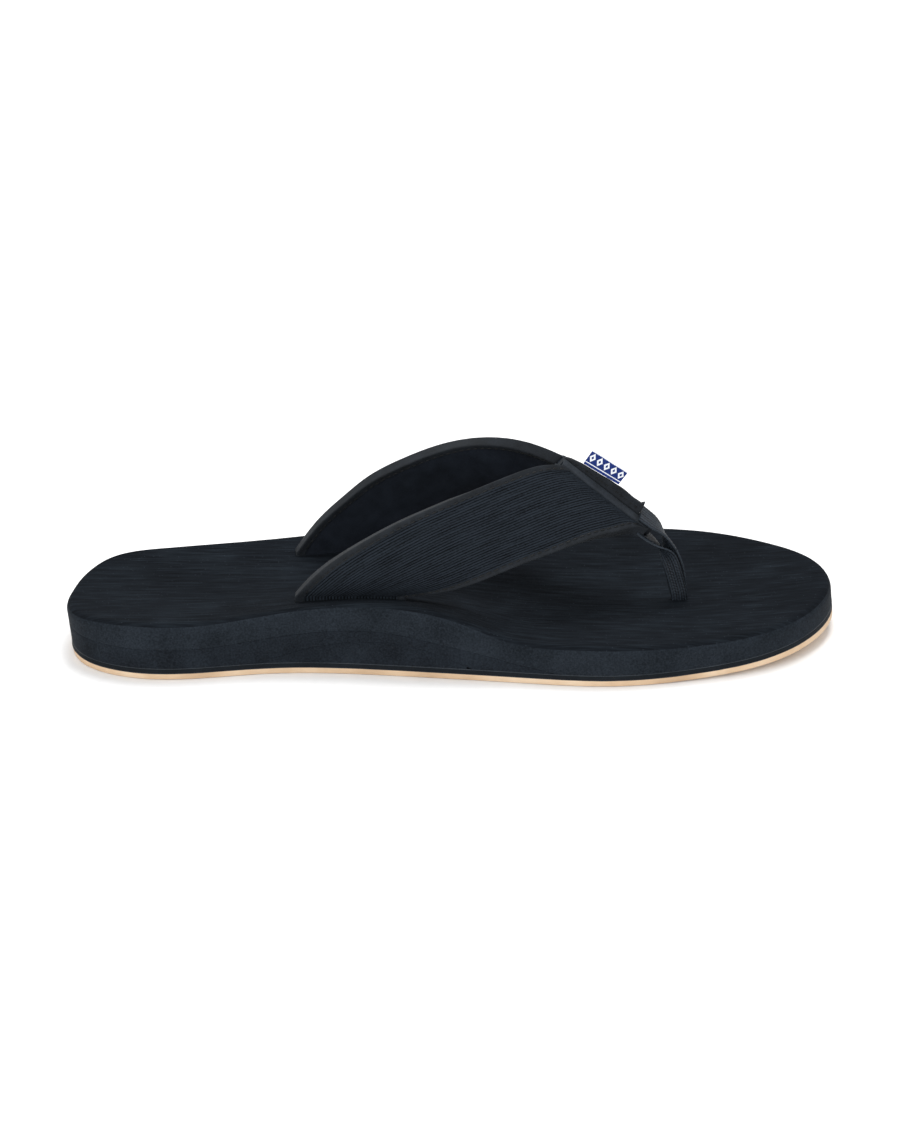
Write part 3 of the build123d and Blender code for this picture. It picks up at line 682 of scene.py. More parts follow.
@dataclass
class SoleForm:
    """The sole's outline and heights as the frame gives them."""

    nodes: dict[str, bpy.types.Object]
    spacing: float = 1.05
    heel_core: tuple[float, float] = (-104.0, -12.5)
    toe_core: tuple[float, float] = (84.0, -1.0)
    lean: float = 0.10
    gauge: float = 12.0         # height at which the outline is read
    spring_start: float = 65.0
    toe_arc: float = 570.2
    outsole: float = 2.3
    base_top: float = 4.3
    trees: dict[str, BVHTree] = field(default_factory=dict)
    columns: list[Column] = field(default_factory=list)

    def __post_init__(self) -> None:
        """Reads the frame's foam layers and the outline's columns."""
        for name in ("outsole", "footbed_cover", "heel_wedge", "arch_insert", "midsole"):
            mesh = self.nodes[name].data
            self.trees[name] = BVHTree.FromPolygons(
                [v.co / MM for v in mesh.vertices], [p.vertices[:] for p in mesh.polygons])
        self.columns = [self.column(*ray) for ray in self.rays()]

    def rays(self) -> list[tuple[Vector, Vector]]:
        """Starts and directions from the core line, once round the sole."""
        heel, toe = Vector((*self.heel_core, 0)), Vector((*self.toe_core, 0))
        straight = int((toe - heel).length / self.spacing)
        fans = (int(math.pi * 35 / self.spacing), int(math.pi * 55 / self.spacing))
        rays = []
        for k in range(fans[0]):
            angle = math.radians(270 - 180 * k / fans[0])
            rays.append((heel, Vector((math.cos(angle), math.sin(angle), 0))))
        for k in range(straight):
            rays.append((heel.lerp(toe, k / straight), Vector((0, 1, 0))))
        for k in range(fans[1]):
            angle = math.radians(90 - 180 * k / fans[1])
            rays.append((toe, Vector((math.cos(angle), math.sin(angle), 0))))
        for k in range(straight):
            rays.append((toe.lerp(heel, k / straight), Vector((0, -1, 0))))
        return rays

    def column(self, start: Vector, direction: Vector) -> Column:
        """The slice of the sole along one ray."""
        outside = start + direction * 160 + Vector((0, 0, self.gauge))
        hits = [self.trees[name].ray_cast(outside, -direction)[0]
                for name in ("heel_wedge", "midsole", "arch_insert", "footbed_cover")]
        hit = min((h for h in hits if h), key=lambda h: (h - outside).length)
        wall = Vector((hit.x + self.lean * self.gauge, hit.y, 0))
        return Column(wall, Vector((start.x, start.y, 0)), self.lean)

    def ground(self, along: float, height: float) -> float:
        """Height of a layer that lies parallel to the ground and the toe's arc."""
        run = max(0.0, along - self.spring_start)
        return self.toe_arc - math.sqrt((self.toe_arc - height) ** 2 - run ** 2)

    def hit(self, node: str, x: float, y: float) -> float | None:
        """Height of a node's top at a place, or None beside it."""
        found = self.trees[node].ray_cast(Vector((x, y, 90)), Vector((0, 0, -1)))[0]
        return found.z if found else None

    def footbed(self, x: float, y: float, fallback: float = 20.0) -> float:
        """Height of the footbed, carried over the slots that are cut in it."""
        straight = self.hit("footbed_cover", x, y)
        if straight is not None:
            return straight
        sides = []
        for way in (-1, 1):
            for step in range(1, 17):
                height = self.hit("footbed_cover", x, y + way * step * 0.5)
                if height is not None:
                    sides.append((step, height))
                    break
        if len(sides) < 2:
            return sides[0][1] if sides else fallback
        (near, low), (far, high) = sides
        return mix(low, high, near / (near + far))

    def base(self, x: float, y: float) -> float:
        """Height of the base sheet's top."""
        return self.ground(x, self.base_top)

    def over_insert(self, x: float, y: float) -> float:
        """Height of the arch insert, or of the base sheet beside it."""
        return max(self.base(x, y), self.hit("arch_insert", x, y) or 0.0)

    def over_wedge(self, x: float, y: float) -> float:
        """Height of the lower wedge, or of what lies under it."""
        return max(self.over_insert(x, y), self.hit("heel_wedge", x, y) or 0.0)


Heights = Callable[[float, float], float]


@dataclass
class Sole:
    """The laminated sole, from the gum rubber to the brushed footbed."""

    form: SoleForm
    rim_radius: float = 3.0     # the footbed's rounded edge
    cover_start: float = 38.0   # degrees of the rim's arc that belong to the midsole
    cover: float = 1.5
    ease: float = 0.16          # broken edge of each cut layer
    wedge_end: float = 35.5     # station where the wedge has run out
    streak_depth: float = 0.10
    bead: float = 0.17
    tread_ease: float = 0.25
    probe_depth: float = 0.4    # where a layer's heights at the wall are read
    probe_height: float = 10.0
    flat_start: float = 1.0     # first place on a layer's flat side, from the wall
    flat_steps: int = 8
    rim_height: float = 18.0    # height that the footbed's places are spread at
    rings: int = 84
    fade: float = 4.0           # distance over which the brushing starts

    def build(self) -> None:
        """Makes every layer, from the ground up."""
        self.outsole()
        self.layer("base_layer", Finishes.BASE, "base_sheet",
                   lambda x, y: self.form.ground(x, self.form.outsole), self.form.base)
        self.glue_lines()
        self.insert()
        self.layer("wedge_layer", Finishes.WEDGE, "heel_wedge", self.form.over_insert,
                   self.form.over_wedge, self.wedge_end)
        self.midsole()
        self.footbed()

    def outsole(self) -> None:
        """The frame's outsole with the edges of its wall and tread broken."""
        bm = bmesh.new()
        bm.from_mesh(self.form.nodes["outsole"].data)
        bmesh.ops.remove_doubles(bm, verts=bm.verts, dist=0.001 * MM)
        bmesh.ops.dissolve_limit(bm, angle_limit=math.radians(0.6), verts=bm.verts,
                                 edges=bm.edges)
        sharp = [e for e in bm.edges
                 if len(e.link_faces) == 2 and e.calc_face_angle(0) > math.radians(40)]
        bmesh.ops.bevel(bm, geom=sharp, affect="EDGES", offset=self.tread_ease * MM,
                        segments=2, profile=0.5, material=-1, clamp_overlap=True)
        finished("gum_outsole", bm, Finishes.OUTSOLE, ["outsole"])

    def wall_points(self, column: Column, low: float, high: float,
                    round_high: bool = True) -> Row:
        """The wall of a layer with its edges broken, from low to high."""
        ease = min(self.ease, (high - low) / 3)
        points = [column.inside(ease, low), column.inside(ease * 0.3, low + ease * 0.3),
                  column.at_wall(low + ease)]
        steps = 6
        points += [column.at_wall(mix(low + ease, high - ease, k / steps))
                   for k in range(1, steps + 1)]
        if round_high:
            points += [column.inside(ease * 0.3, high - ease * 0.3),
                       column.inside(ease, high)]
        return points

    def face_points(self, column: Column, heights: Heights, start: float,
                    sink: float = 0.0) -> Row:
        """Places on a layer's flat side, from near the wall to the core line."""
        points = []
        for depth in column.spread(start, self.flat_steps):
            spot = column.inside(depth, 15.0)
            points.append(Vector((spot.x, spot.y, heights(spot.x, spot.y) - sink)))
        return points

    def layer(self, name: str, finish: Finish, node: str, low: Heights, high: Heights,
              end: float | None = None) -> None:
        """One foam layer between two heights.

        Args:
            name: the piece's name.
            finish: its finish.
            node: the frame's node it stands for.
            low: height of its underside.
            high: height of its top.
            end: station where the layer is cut off, if it runs out before the toe.
        """
        rows = []
        for column in self.form.columns:
            spot = column.inside(self.probe_depth, self.probe_height)
            bottom, top = low(spot.x, spot.y), high(spot.x, spot.y)
            under = self.face_points(column, low, self.flat_start)[::-1]
            over = self.face_points(column, high, self.flat_start)
            rows.append(under + self.wall_points(column, bottom, max(top, bottom)) + over)
        bm = self.ring(rows)
        if end is not None:
            bmesh.ops.bisect_plane(bm, geom=[*bm.verts, *bm.edges, *bm.faces],
                                   plane_co=(end * MM, 0, 0), plane_no=(1, 0, 0),
                                   clear_outer=True)
            close_ends(bm)
        finished(name, bm, finish, [node])

    def ring(self, rows: list[Row]) -> bmesh.types.BMesh:
        """A loft once round the sole."""
        girth = sum((a.wall - b.wall).length
                    for a, b in zip(self.form.columns, self.form.columns[1:]))
        return loft([*rows, rows[0]], BALL_WIDTH, girth)

    def glue_lines(self) -> None:
        """Two fine beads of cement squeezed out above and below the base sheet."""
        section = [(math.cos(math.tau * k / 6), math.sin(math.tau * k / 6))
                   for k in range(7)]
        merged = bmesh.new()
        for height in (self.form.outsole, self.form.base_top):
            rows = []
            for index, column in enumerate(self.form.columns):
                level = self.form.ground(column.wall.x, height)
                swell = 1 + 0.5 * noise.noise(Vector((index * 0.11, height, 0)))
                rows.append([
                    column.inside(0.05 + side * self.bead * 0.8, level)
                    + Vector((0, 0, rise * self.bead * swell)) for side, rise in section])
            bm = self.ring(rows)
            mesh = bpy.data.meshes.new("bead")
            bm.to_mesh(mesh)
            bm.free()
            merged.from_mesh(mesh)
            bpy.data.meshes.remove(mesh)
        finished("glue_lines", merged, Finishes.GLUE)

    def insert(self) -> None:
        """The arch insert on the inner side."""
        low, high = (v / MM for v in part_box("arch_insert"))
        rows = []
        for column in self.form.columns:
            x, y = column.wall.x, column.wall.y
            if y > 0 or not low.x + 0.6 < x < high.x - 0.6 or column.core.x <= -104:
                continue
            spot = column.inside(self.probe_depth, self.probe_height)
            top = max(self.form.over_insert(spot.x, spot.y), self.form.base_top + 0.05)
            depths = [1.0 + (high.y - y - 1.5) * k / 9 for k in range(10)]
            over = []
            for depth in depths:
                place = column.at_wall(9.0)
                x0, y0 = place.x, place.y + depth
                over.append(Vector((x0, y0, max(self.form.over_insert(x0, y0),
                                                self.form.base_top + 0.02))))
            under = [Vector((v.x, v.y, self.form.base_top)) for v in over[::-1]]
            row = [*under, *self.wall_points(column, self.form.base_top, top), *over]
            rows.append([*row, row[0]])
        bm = loft(rows, 100.0, 80.0)
        close_ends(bm)
        finished("arch_layer", bm, Finishes.WEDGE, ["arch_insert"])

    def rim(self, column: Column, start: float, end: float, steps: int) -> Row:
        """The rounded rim between two angles of its arc."""
        points = []
        for k in range(steps + 1):
            angle = math.radians(mix(start, end, k / steps))
            depth = self.rim_radius * (1 - math.cos(angle))
            probe = column.inside(max(depth, 0.5), self.rim_height)
            height = self.form.footbed(probe.x, probe.y)
            height -= self.rim_radius * (1 - math.sin(angle))
            points.append(column.inside(depth, height))
        return points

    def midsole(self) -> None:
        """The upper foam: its wall up to the start of the brushed sheet."""
        rows = []
        for column in self.form.columns:
            spot = column.inside(self.probe_depth, self.probe_height)
            bottom = self.form.over_wedge(spot.x, spot.y)
            arc = self.rim(column, 0, self.cover_start, 3)
            under = self.face_points(column, self.form.over_wedge, self.flat_start)[::-1]
            wall = self.wall_points(column, bottom, arc[0].z, round_high=False)[:-1]
            lip = column.inside(1.2, arc[-1].z - 0.2)
            over = self.face_points(column, self.form.footbed, self.rim_radius + 0.5,
                                    self.cover + 0.05)
            rows.append([*under, *wall, *arc, lip, *over])
        finished("midsole_layer", self.ring(rows), Finishes.MIDSOLE, ["midsole"])

    def streak(self, x: float, y: float) -> float:
        """Depth of the brushing, in long uneven strokes along the sole."""
        long = noise.noise(Vector((x / 22, y / 1.3, 0.0)))
        fine = noise.noise(Vector((x / 7, y / 0.8, 5.0)))
        return self.streak_depth * (long + 0.6 * fine)

    def footbed(self) -> None:
        """The brushed top sheet with its rounded rim."""
        rings = self.rings
        rows = []
        for column in self.form.columns:
            arc = self.rim(column, self.cover_start, 90, 6)
            top = []
            for depth in column.spread(self.rim_radius, rings)[1:]:
                spot = column.inside(depth, self.rim_height)
                height = self.form.footbed(spot.x, spot.y, arc[-1].z)
                fade = min(1.0, (depth - self.rim_radius) / self.fade)
                height += self.streak(spot.x, spot.y) * fade
                top.append(Vector((spot.x, spot.y, height)))
            under = [v - Vector((0, 0, self.cover)) for v in
                     [top[-1], top[rings // 2], top[rings // 5], top[2]]]
            row = [*arc, *top, *under, column.inside(1.1, arc[0].z - 0.15)]
            rows.append([*row, row[0]])
        finished("brushed_footbed", self.ring(rows), Finishes.FOOTBED, ["footbed_cover"])


# ---- the straps --------------------------------------------------------------------


@dataclass(frozen=True)
class SeamLine:
    """The seam's line over the toes: distances down it, across it and out of it."""

    across: float = -5.5
    top: tuple[float, float] = (41.0, 71.6)
    low: tuple[float, float] = (73.0, 45.0)
    slope: float = 22.0
    mitre: float = 1.1
    half_start: float = 1.35

    @property
    def start(self) -> Vector:
        """The seam's rear end."""
        return Vector((self.top[0], self.across, self.top[1]))

    @property
    def run(self) -> Vector:
        """Direction down the seam."""
        end = Vector((self.low[0], self.across, self.low[1]))
        return (end - self.start).normalized()

    @property
    def length(self) -> float:
        """Length of the seam."""
        return math.dist(self.top, self.low)

    @property
    def out(self) -> Vector:
        """Direction out of the seam."""
        return Vector((-self.run.z, 0, self.run.x))

    def point(self, along: float, across: float, out: float) -> Vector:
        """A place by its distances from the seam's rear end."""
        return self.start + self.run * along + Vector((0, across, 0)) + self.out * out


# Each edge runs from the slot to the seam, as (share of the sole's length, across,
# share of the rise from the seat to the seam's end).
STRAP_EDGES: dict[Side, tuple[tuple[tuple[float, float, float], ...], ...]] = {
    Side.MEDIAL: (
        ((0.295, -32.5, 0.0), (0.3305, -33.0, 0.26), (0.378, -31.5, 0.48),
         (0.434, -29.0, 0.675), (0.468, -27.0, 0.765), (0.515, -24.0, 0.88),
         (0.570, -18.5, 0.985), (0.612, -13.0, 1.015)),
        ((0.434, -32.5, 0.0), (0.490, -33.5, 0.17), (0.537, -32.5, 0.43),
         (0.582, -30.0, 0.70), (0.632, -26.0, 0.93), (0.688, -18.0, 1.07),
         (0.712, -14.0, 1.06), (0.7315, -10.8, 1.04)),
    ),
    Side.LATERAL: (
        ((0.288, 19.5, 0.0), (0.320, 20.0, 0.26), (0.3525, 19.5, 0.455),
         (0.385, 18.5, 0.63), (0.432, 17.0, 0.80), (0.493, 15.5, 0.95),
         (0.541, 14.0, 1.0), (0.598, 6.8, 1.01)),
        ((0.429, 26.5, 0.0), (0.459, 27.0, 0.43), (0.500, 26.5, 0.83),
         (0.547, 25.0, 1.04), (0.602, 20.5, 1.16), (0.656, 13.5, 1.17),
         (0.702, 5.5, 1.10), (0.728, 0.5, 1.06)),
    ),
}


@dataclass
class Section:
    """A strap half's section: its rear and front edges and the way out of it."""

    back: Vector
    fore: Vector
    out: Vector

    def point(self, share: float, out: float) -> Vector:
        """A place a share of the way to the front edge and out of the face."""
        return self.back.lerp(self.fore, share) + self.out * out

    @property
    def across(self) -> Vector:
        """Direction from the rear edge to the front edge."""
        return (self.fore - self.back).normalized()


@dataclass(frozen=True)
class StitchRow:
    """Stitches of one length, added one at a time."""

    pitch: float

    def add(self, bm: bmesh.types.BMesh, spot: Vector, run: Vector, out: Vector) -> None:
        """Adds one plump stitch that lies along a direction.

        Args:
            bm: the mesh that takes it.
            spot: its middle in millimetres.
            run: the way it lies.
            out: the way out of the face it lies on.
        """
        side = out.cross(run).normalized()
        up = run.cross(side).normalized()
        turn = Matrix((run, side, up)).transposed().to_4x4()
        size = Matrix.Diagonal((self.pitch * 0.36 * MM, 0.24 * MM, 0.2 * MM, 1.0))
        bmesh.ops.create_uvsphere(bm, u_segments=8, v_segments=5, radius=1.0,
                                  matrix=Matrix.Translation(spot * MM) @ turn @ size)


@dataclass
class StrapHalf:
    """One padded half: ribbed shell on foam, lining, bound edges and seam strip."""

    side: Side
    form: SoleForm
    seam: SeamLine
    sole_length: float = 295.0
    seat_gap: float = 0.8
    tail: float = 6.0
    spans: int = 96
    lean_in: float = 0.08       # share of the way over which a half leaves upright
    turn_start: float = 0.6     # share where it starts to turn to the seam
    pad: float = 2.6            # shell and foam
    thickness: float = 3.4
    binding: float = 0.5
    binding_width: float = 3.0
    puff: float = 1.1           # rise of the padding between the bound edges
    belly: float = 0.5          # the same on the lining's side
    rib_count: int = 34
    rib_depth: float = 0.32
    rib_steps: int = 6
    stitch: float = 2.9         # one stitch and its gap
    stitch_inset: float = 0.75  # from the tape's edge to its stitches
    cloth_width: float = 43.0   # real sizes that the weave's pattern is laid out by
    cloth_length: float = 125.0
    tape_girth: float = 14.0
    rear: SmoothLine = field(init=False)
    front: SmoothLine = field(init=False)
    ribs: list[float] = field(init=False)

    def __post_init__(self) -> None:
        """Lays the two edges from the slot to the seam."""
        sign = self.side.value
        rows = STRAP_EDGES[self.side]
        ends = [(self.station(r[0][0]), r[0][1]) for r in rows]
        seat = self.seat_gap + max(
            self.form.footbed(mix(ends[0][0], ends[1][0], k / 4),
                              mix(ends[0][1], ends[1][1], k / 4)) for k in range(5))
        strip = self.binding_width * math.cos(math.radians(self.seam.slope))
        fall = self.binding_width * math.sin(math.radians(self.seam.slope))
        lines = []
        for points, top, along in zip(rows, (self.seam.top[1], self.seam.low[1]),
                                      (0.0, self.seam.length)):
            places = [(self.station(s), y, mix(seat, top, rise)) for s, y, rise in points]
            last = self.seam.point(along, sign * (self.seam.half_start + strip), -fall)
            lines.append(SmoothLine([*places, tuple(last)]))
        self.rear, self.front = lines
        dice = random.Random(5 + sign)
        self.ribs = [dice.choice((0.35, 0.6, 0.85, 1.0, 1.0)) for _ in range(self.rib_count + 1)]

    def station(self, share: float) -> float:
        """Place along the sole for a share of its length."""
        return (share - 0.5) * self.sole_length

    def section(self, share: float) -> Section:
        """The half's section at a share of its way from the slot to the seam."""
        sign = self.side.value
        back, fore = self.rear.place(share), self.front.place(share)
        run = self.rear.heading(share) + self.front.heading(share)
        out = (fore - back).cross(run).normalized() * -sign
        slot = (self.front.place(0) - self.rear.place(0)).normalized()
        level = Vector((slot.y, -slot.x, 0)) * -sign
        rise = min(1.0, share / self.lean_in)
        out = level.lerp(out, rise)
        ease = max(0.0, (share - self.turn_start) / (1 - self.turn_start))
        return Section(back, fore, out.lerp(self.seam.out * self.seam.mitre, ease))

    def sections(self, into_seam: bool = True) -> list[tuple[float, Section]]:
        """Sections from the tail in the sole up to the seam, each with its share."""
        seat = self.section(0)
        found = []
        for k in range(4):
            drop = Vector((0, 0, -self.tail * (1 - k / 4) - self.seat_gap))
            found.append((0.0, Section(seat.back + drop, seat.fore + drop, seat.out)))
        found += [(k / self.spans, self.section(k / self.spans))
                  for k in range(self.spans + 1)]
        if into_seam:
            sign = self.side.value
            ends = [self.seam.point(d, sign * self.seam.half_start, 0)
                    for d in (0, self.seam.length)]
            found.append((1.0, Section(*ends, self.seam.out * self.seam.mitre)))
        return found

    def crown(self, across: float, along: float) -> float:
        """Share of the padding's full rise at a place on the half."""
        middle = 1 - abs(2 * across - 1) ** 3.2
        return middle * math.sin(math.pi * min(1.0, max(0.0, along))) ** 0.45

    def rib(self, across: float, along: float) -> float:
        """Height of the ribs, which run along the half and vary from rib to rib."""
        place = across * self.rib_count
        index = min(int(place), self.rib_count)
        profile = abs(math.sin(math.pi * place)) ** 0.75
        wander = 0.75 + 0.5 * noise.noise(Vector((along * 9, index * 1.7, 0)))
        return self.rib_depth * self.ribs[index] * wander * (profile - 1)

    def shell(self) -> bpy.types.Object:
        """The ribbed shell and the foam behind it, as one padded piece."""
        columns = self.rib_count * self.rib_steps
        inner = 14
        rows = []
        for share, section in self.sections():
            row = []
            for k in range(columns + 1):
                v = k / columns
                lift = self.puff * self.crown(v, share) + self.rib(v, share)
                row.append(section.point(v, lift - 0.02))
            for k in range(inner + 1):
                v = 1 - k / inner
                lift = self.belly * self.crown(v, share)
                row.append(section.point(v, -self.pad - lift))
            rows.append([*row, row[0]])
        width = self.cloth_width * (len(rows[0]) - 1) / columns
        bm = loft(rows, width, self.cloth_length)
        close_ends(bm)
        name = self.side.label
        piece = finished(f"{name}_padded_strap", bm, Finishes.SHELL,
                         [f"{name}_strap_shell", f"{name}_strap_foam"])
        return piece

    def lining(self) -> bpy.types.Object:
        """The smooth lining on the foot's side."""
        columns = 30
        rows = []
        for share, section in self.sections():
            row = []
            for depth, order in ((self.pad + 0.04, 1), (self.thickness, -1)):
                for k in range(columns + 1)[::order]:
                    v = k / columns
                    lift = self.belly * self.crown(v, share)
                    row.append(section.point(v, -depth - lift))
            rows.append([*row, row[0]])
        bm = loft(rows, 2 * self.cloth_width, self.cloth_length)
        close_ends(bm)
        area = sum(face.calc_area() for face in bm.faces) / 2
        name = self.side.label
        piece = finished(f"{name}_lining", bm, Finishes.LINING, [f"{name}_strap_lining"])
        width = max((s.fore - s.back).length for _, s in self.sections())
        return piece

    def edge_tape(self, at_rear: bool) -> bpy.types.Object:
        """Folded tape round one long edge, drawn in a little at every stitch."""
        skin, width, deep = self.binding, self.binding_width, self.thickness
        corners = [(width, skin * 0.7), (-skin, skin * 1.1), (-skin, -deep - skin * 1.1),
                   (width, -deep - skin * 0.7), (width, -deep), (0.05, -deep + 0.1),
                   (0.05, -0.1), (width, 0)]
        outline = evened(rounded(corners, 0.75, 5), 0.5)
        rows = []
        line = self.rear if at_rear else self.front
        for share, section in self.sections(into_seam=False):
            origin = section.back if at_rear else section.fore
            inward = section.across if at_rear else -section.across
            travel = share * line.length
            pull = math.cos(math.tau * travel / self.stitch)
            row = []
            for s, d in outline:
                near = max(0.0, 1 - abs(s - width + 0.8) / 1.2)
                dent = near * (0.1 + 0.13 * (1 - pull) / 2) + 0.04 * noise.noise(
                    Vector((travel * 0.35, s, self.side.value)))
                lift = d - dent if d > 0 else d + dent
                row.append(origin + inward * s + section.out * lift)
            rows.append([*row, row[0]])
        bm = loft(rows, self.tape_girth, self.cloth_length)
        close_ends(bm)
        place = "rear" if at_rear else "front"
        name = self.side.label
        return finished(f"{name}_{place}_tape", bm, Finishes.BINDING,
                        [f"{name}_{place}_binding"])

    def stitches(self) -> bpy.types.Object:
        """Rows of stitches through both edge tapes, on the face and on the lining."""
        bm = bmesh.new()
        sewing = StitchRow(self.stitch)
        for at_rear in (True, False):
            line = self.rear if at_rear else self.front
            count = int(line.length / self.stitch)
            for k in range(1, count):
                share = k / count
                section = self.section(share)
                origin = section.back if at_rear else section.fore
                inward = section.across if at_rear else -section.across
                inset = self.binding_width - self.stitch_inset
                for lift in (self.binding * 0.8, -self.thickness - self.binding * 0.8):
                    spot = origin + inward * inset + section.out * lift
                    sewing.add(bm, spot, line.heading(share), section.out)
        return finished(f"{self.side.label}_stitches", bm, Finishes.THREAD)

    def seam_tape(self) -> bpy.types.Object:
        """Folded tape round the half's end, along the seam."""
        sign, seam = self.side.value, self.seam
        skin, depth = self.binding * seam.mitre, self.thickness * seam.mitre
        near, web = seam.half_start, seam.half_start - self.binding
        far = near + self.binding_width * math.cos(math.radians(seam.slope))
        fall = -self.binding_width * math.sin(math.radians(seam.slope))
        corners = [(web, skin * 0.2), (web + 0.25, skin * 0.3), (near + 0.1, skin * 1.35),
                   (far, fall + skin * 1.1), (far, fall - 0.2), (near, -0.1),
                   (near, -depth), (far, fall - depth), (far, fall - depth - skin),
                   (web, -depth - skin)]
        outline = evened(rounded(corners, 0.55, 5), 0.5)
        rows = []
        count = 90
        for k in range(count + 1):
            along = mix(-0.5, seam.length + 0.5, k / count)
            row = []
            for a, o in outline:
                wobble = 0.07 * noise.noise(Vector((along * 0.4, a, sign * 3)))
                row.append(seam.point(along, sign * a, o + wobble))
            rows.append([*row, row[0]])
        bm = loft(rows, 16.0, seam.length)
        close_ends(bm)
        name = self.side.label
        # The seam tape takes the paler copy of the binding finish: a painted highlight on the
        # strap's top.
        return finished(f"{name}_seam_tape", bm, Finishes.SEAM_HIGHLIGHT_BINDING,
                        [f"{name}_seam_binding"])

    def build(self) -> None:
        """Makes every layer of the half."""
        pad = self.shell()
        self.lining()
        self.edge_tape(at_rear=True)
        self.edge_tape(at_rear=False)
        self.stitches()
        self.seam_tape()


@dataclass
class Ridge:
    """The folded piping that stands up along the seam, and the label sewn to it."""

    seam: SeamLine
    half: float = 0.8
    bottom: float = -5.09
    lap_top: float = 0.95
    lap_start: float = 36.3
    nose: float = 3.0           # under the webbing, past the end of the seam
    fold: tuple[tuple[float, float], ...] = (
        (-0.5, 1.0), (1.6, 1.9), (6.0, 2.9), (23.0, 4.85), (34.3, 4.7), (35.2, 6.0),
        (36.0, 3.6))
    label_fold: int = 2
    label_start: float = 0.5
    label_length: float = 16.0
    label_height: float = 6.0
    ply: float = 0.36
    stitch: float = 2.6

    def top(self, along: float) -> float:
        """Height of the ridge at a distance down the seam."""
        if along > self.lap_start:
            return self.lap_top
        table = [*self.fold, (self.lap_start, self.lap_top)]
        return read_off(table, along)

    def build(self) -> None:
        """Makes the piping, its stitches and the label."""
        self.piping()
        self.stitches()
        self.label()

    def piping(self) -> None:
        """The piping: a folded tape, pinched a little along its stitch line."""
        rows = []
        stations = [mix(-0.5, 33.5, k / 80) for k in range(80)]
        stations += [mix(33.5, 37.0, k / 30) for k in range(30)]
        stations += [mix(37.0, self.seam.length + self.nose, k / 14) for k in range(15)]
        for along in stations:
            top = self.top(along)
            pinch = mix(0.0, 0.22, min(1.0, max(0.0, (top - 1.5) / 2)))
            half, knee = self.half, mix(0.4, top, 0.45)
            corners = [(-half, self.bottom), (half, self.bottom), (half, 0.1),
                       (half - pinch, knee), (half, top - 0.5), (half * 0.7, top),
                       (-half * 0.7, top), (-half, top - 0.5), (-half + pinch, knee),
                       (-half, 0.1)]
            outline = rounded(corners, 0.45, 4)
            sway = 0.12 * noise.noise(Vector((along * 0.25, 7.0, 0))) * max(0.0, top) / 4
            row = [self.seam.point(along, a + sway * max(0.0, o), o) for a, o in outline]
            rows.append([*row, row[0]])
        bm = loft(rows, 16.0, self.seam.length)
        close_ends(bm)
        finished("ridge_piping", bm, Finishes.BINDING, ["seam_piping"])

    def stitches(self) -> None:
        """A row of stitches on both faces of the ridge and beside its foot."""
        bm = bmesh.new()
        helper = StitchRow(self.stitch)
        for side in (-1, 1):
            for k in range(14):
                along = 2.2 + k * self.stitch * 0.92
                if along > 34:
                    break
                knee = mix(0.4, self.top(along), 0.45)
                helper.add(bm, self.seam.point(along, side * (self.half - 0.12), knee),
                           self.seam.run, Vector((0, side, 0)))
            for k in range(15):
                along = 1.0 + k * self.stitch
                helper.add(bm, self.seam.point(along, side * 1.15, 0.35), self.seam.run,
                           self.seam.out)
        finished("ridge_stitches", bm, Finishes.THREAD)

    def label(self) -> None:
        """The folded ribbon tab, a little wavy, with its corners easing outwards."""
        start, end = (self.seam.point(a, 0, o)
                      for a, o in self.fold[self.label_fold:self.label_fold + 2])
        run = (end - start).normalized()
        up = Vector((-run.z, 0, run.x))
        origin = start + run * self.label_start + up * 0.5
        half_gap, ply = 0.24, self.ply
        tall = self.label_height - half_gap - ply / 2
        path: list[tuple[float, float]] = []
        climb, turn = 22, 8
        for k in range(climb + 1):
            path.append((-half_gap, mix(-0.1, tall, k / climb)))
        for k in range(1, turn):
            angle = math.pi * (1 - k / turn)
            path.append((half_gap * math.cos(angle), tall + half_gap * math.sin(angle)))
        for k in range(climb + 1):
            path.append((half_gap, mix(tall, -0.1, k / climb)))
        outer, inner = [], []
        for k, (a, h) in enumerate(path):
            before, after = path[max(0, k - 1)], path[min(len(path) - 1, k + 1)]
            way = Vector((after[0] - before[0], after[1] - before[1])).normalized()
            normal = Vector((-way.y, way.x))
            outer.append((a + normal.x * ply / 2, h + normal.y * ply / 2))
            inner.append((a - normal.x * ply / 2, h - normal.y * ply / 2))
        rows = []
        count = 60
        for k in range(count + 1):
            share = k / count
            row = []
            for a, h in [*outer, *inner[::-1]]:
                climb_share = max(0.0, h / tall) ** 2
                wave = 0.28 * math.sin(math.tau * (share * 0.9 + 0.1)) * climb_share
                curl = -0.5 * max(0.0, share - 0.8) / 0.2 * climb_share
                row.append(origin + run * share * self.label_length
                           + up * h + Vector((0, a + wave + curl, 0)))
            rows.append([*row, row[0]])
        length = sum(math.dist(p, q) for p, q in zip(path, path[1:]))
        bm = loft(rows, 2 * length, self.label_length)
        close_ends(bm)
        piece = finished("folded_label", bm, Finishes.LABEL, ["side_label"], Body.LABEL)


# ---- the toe post ----------------------------------------------------------------


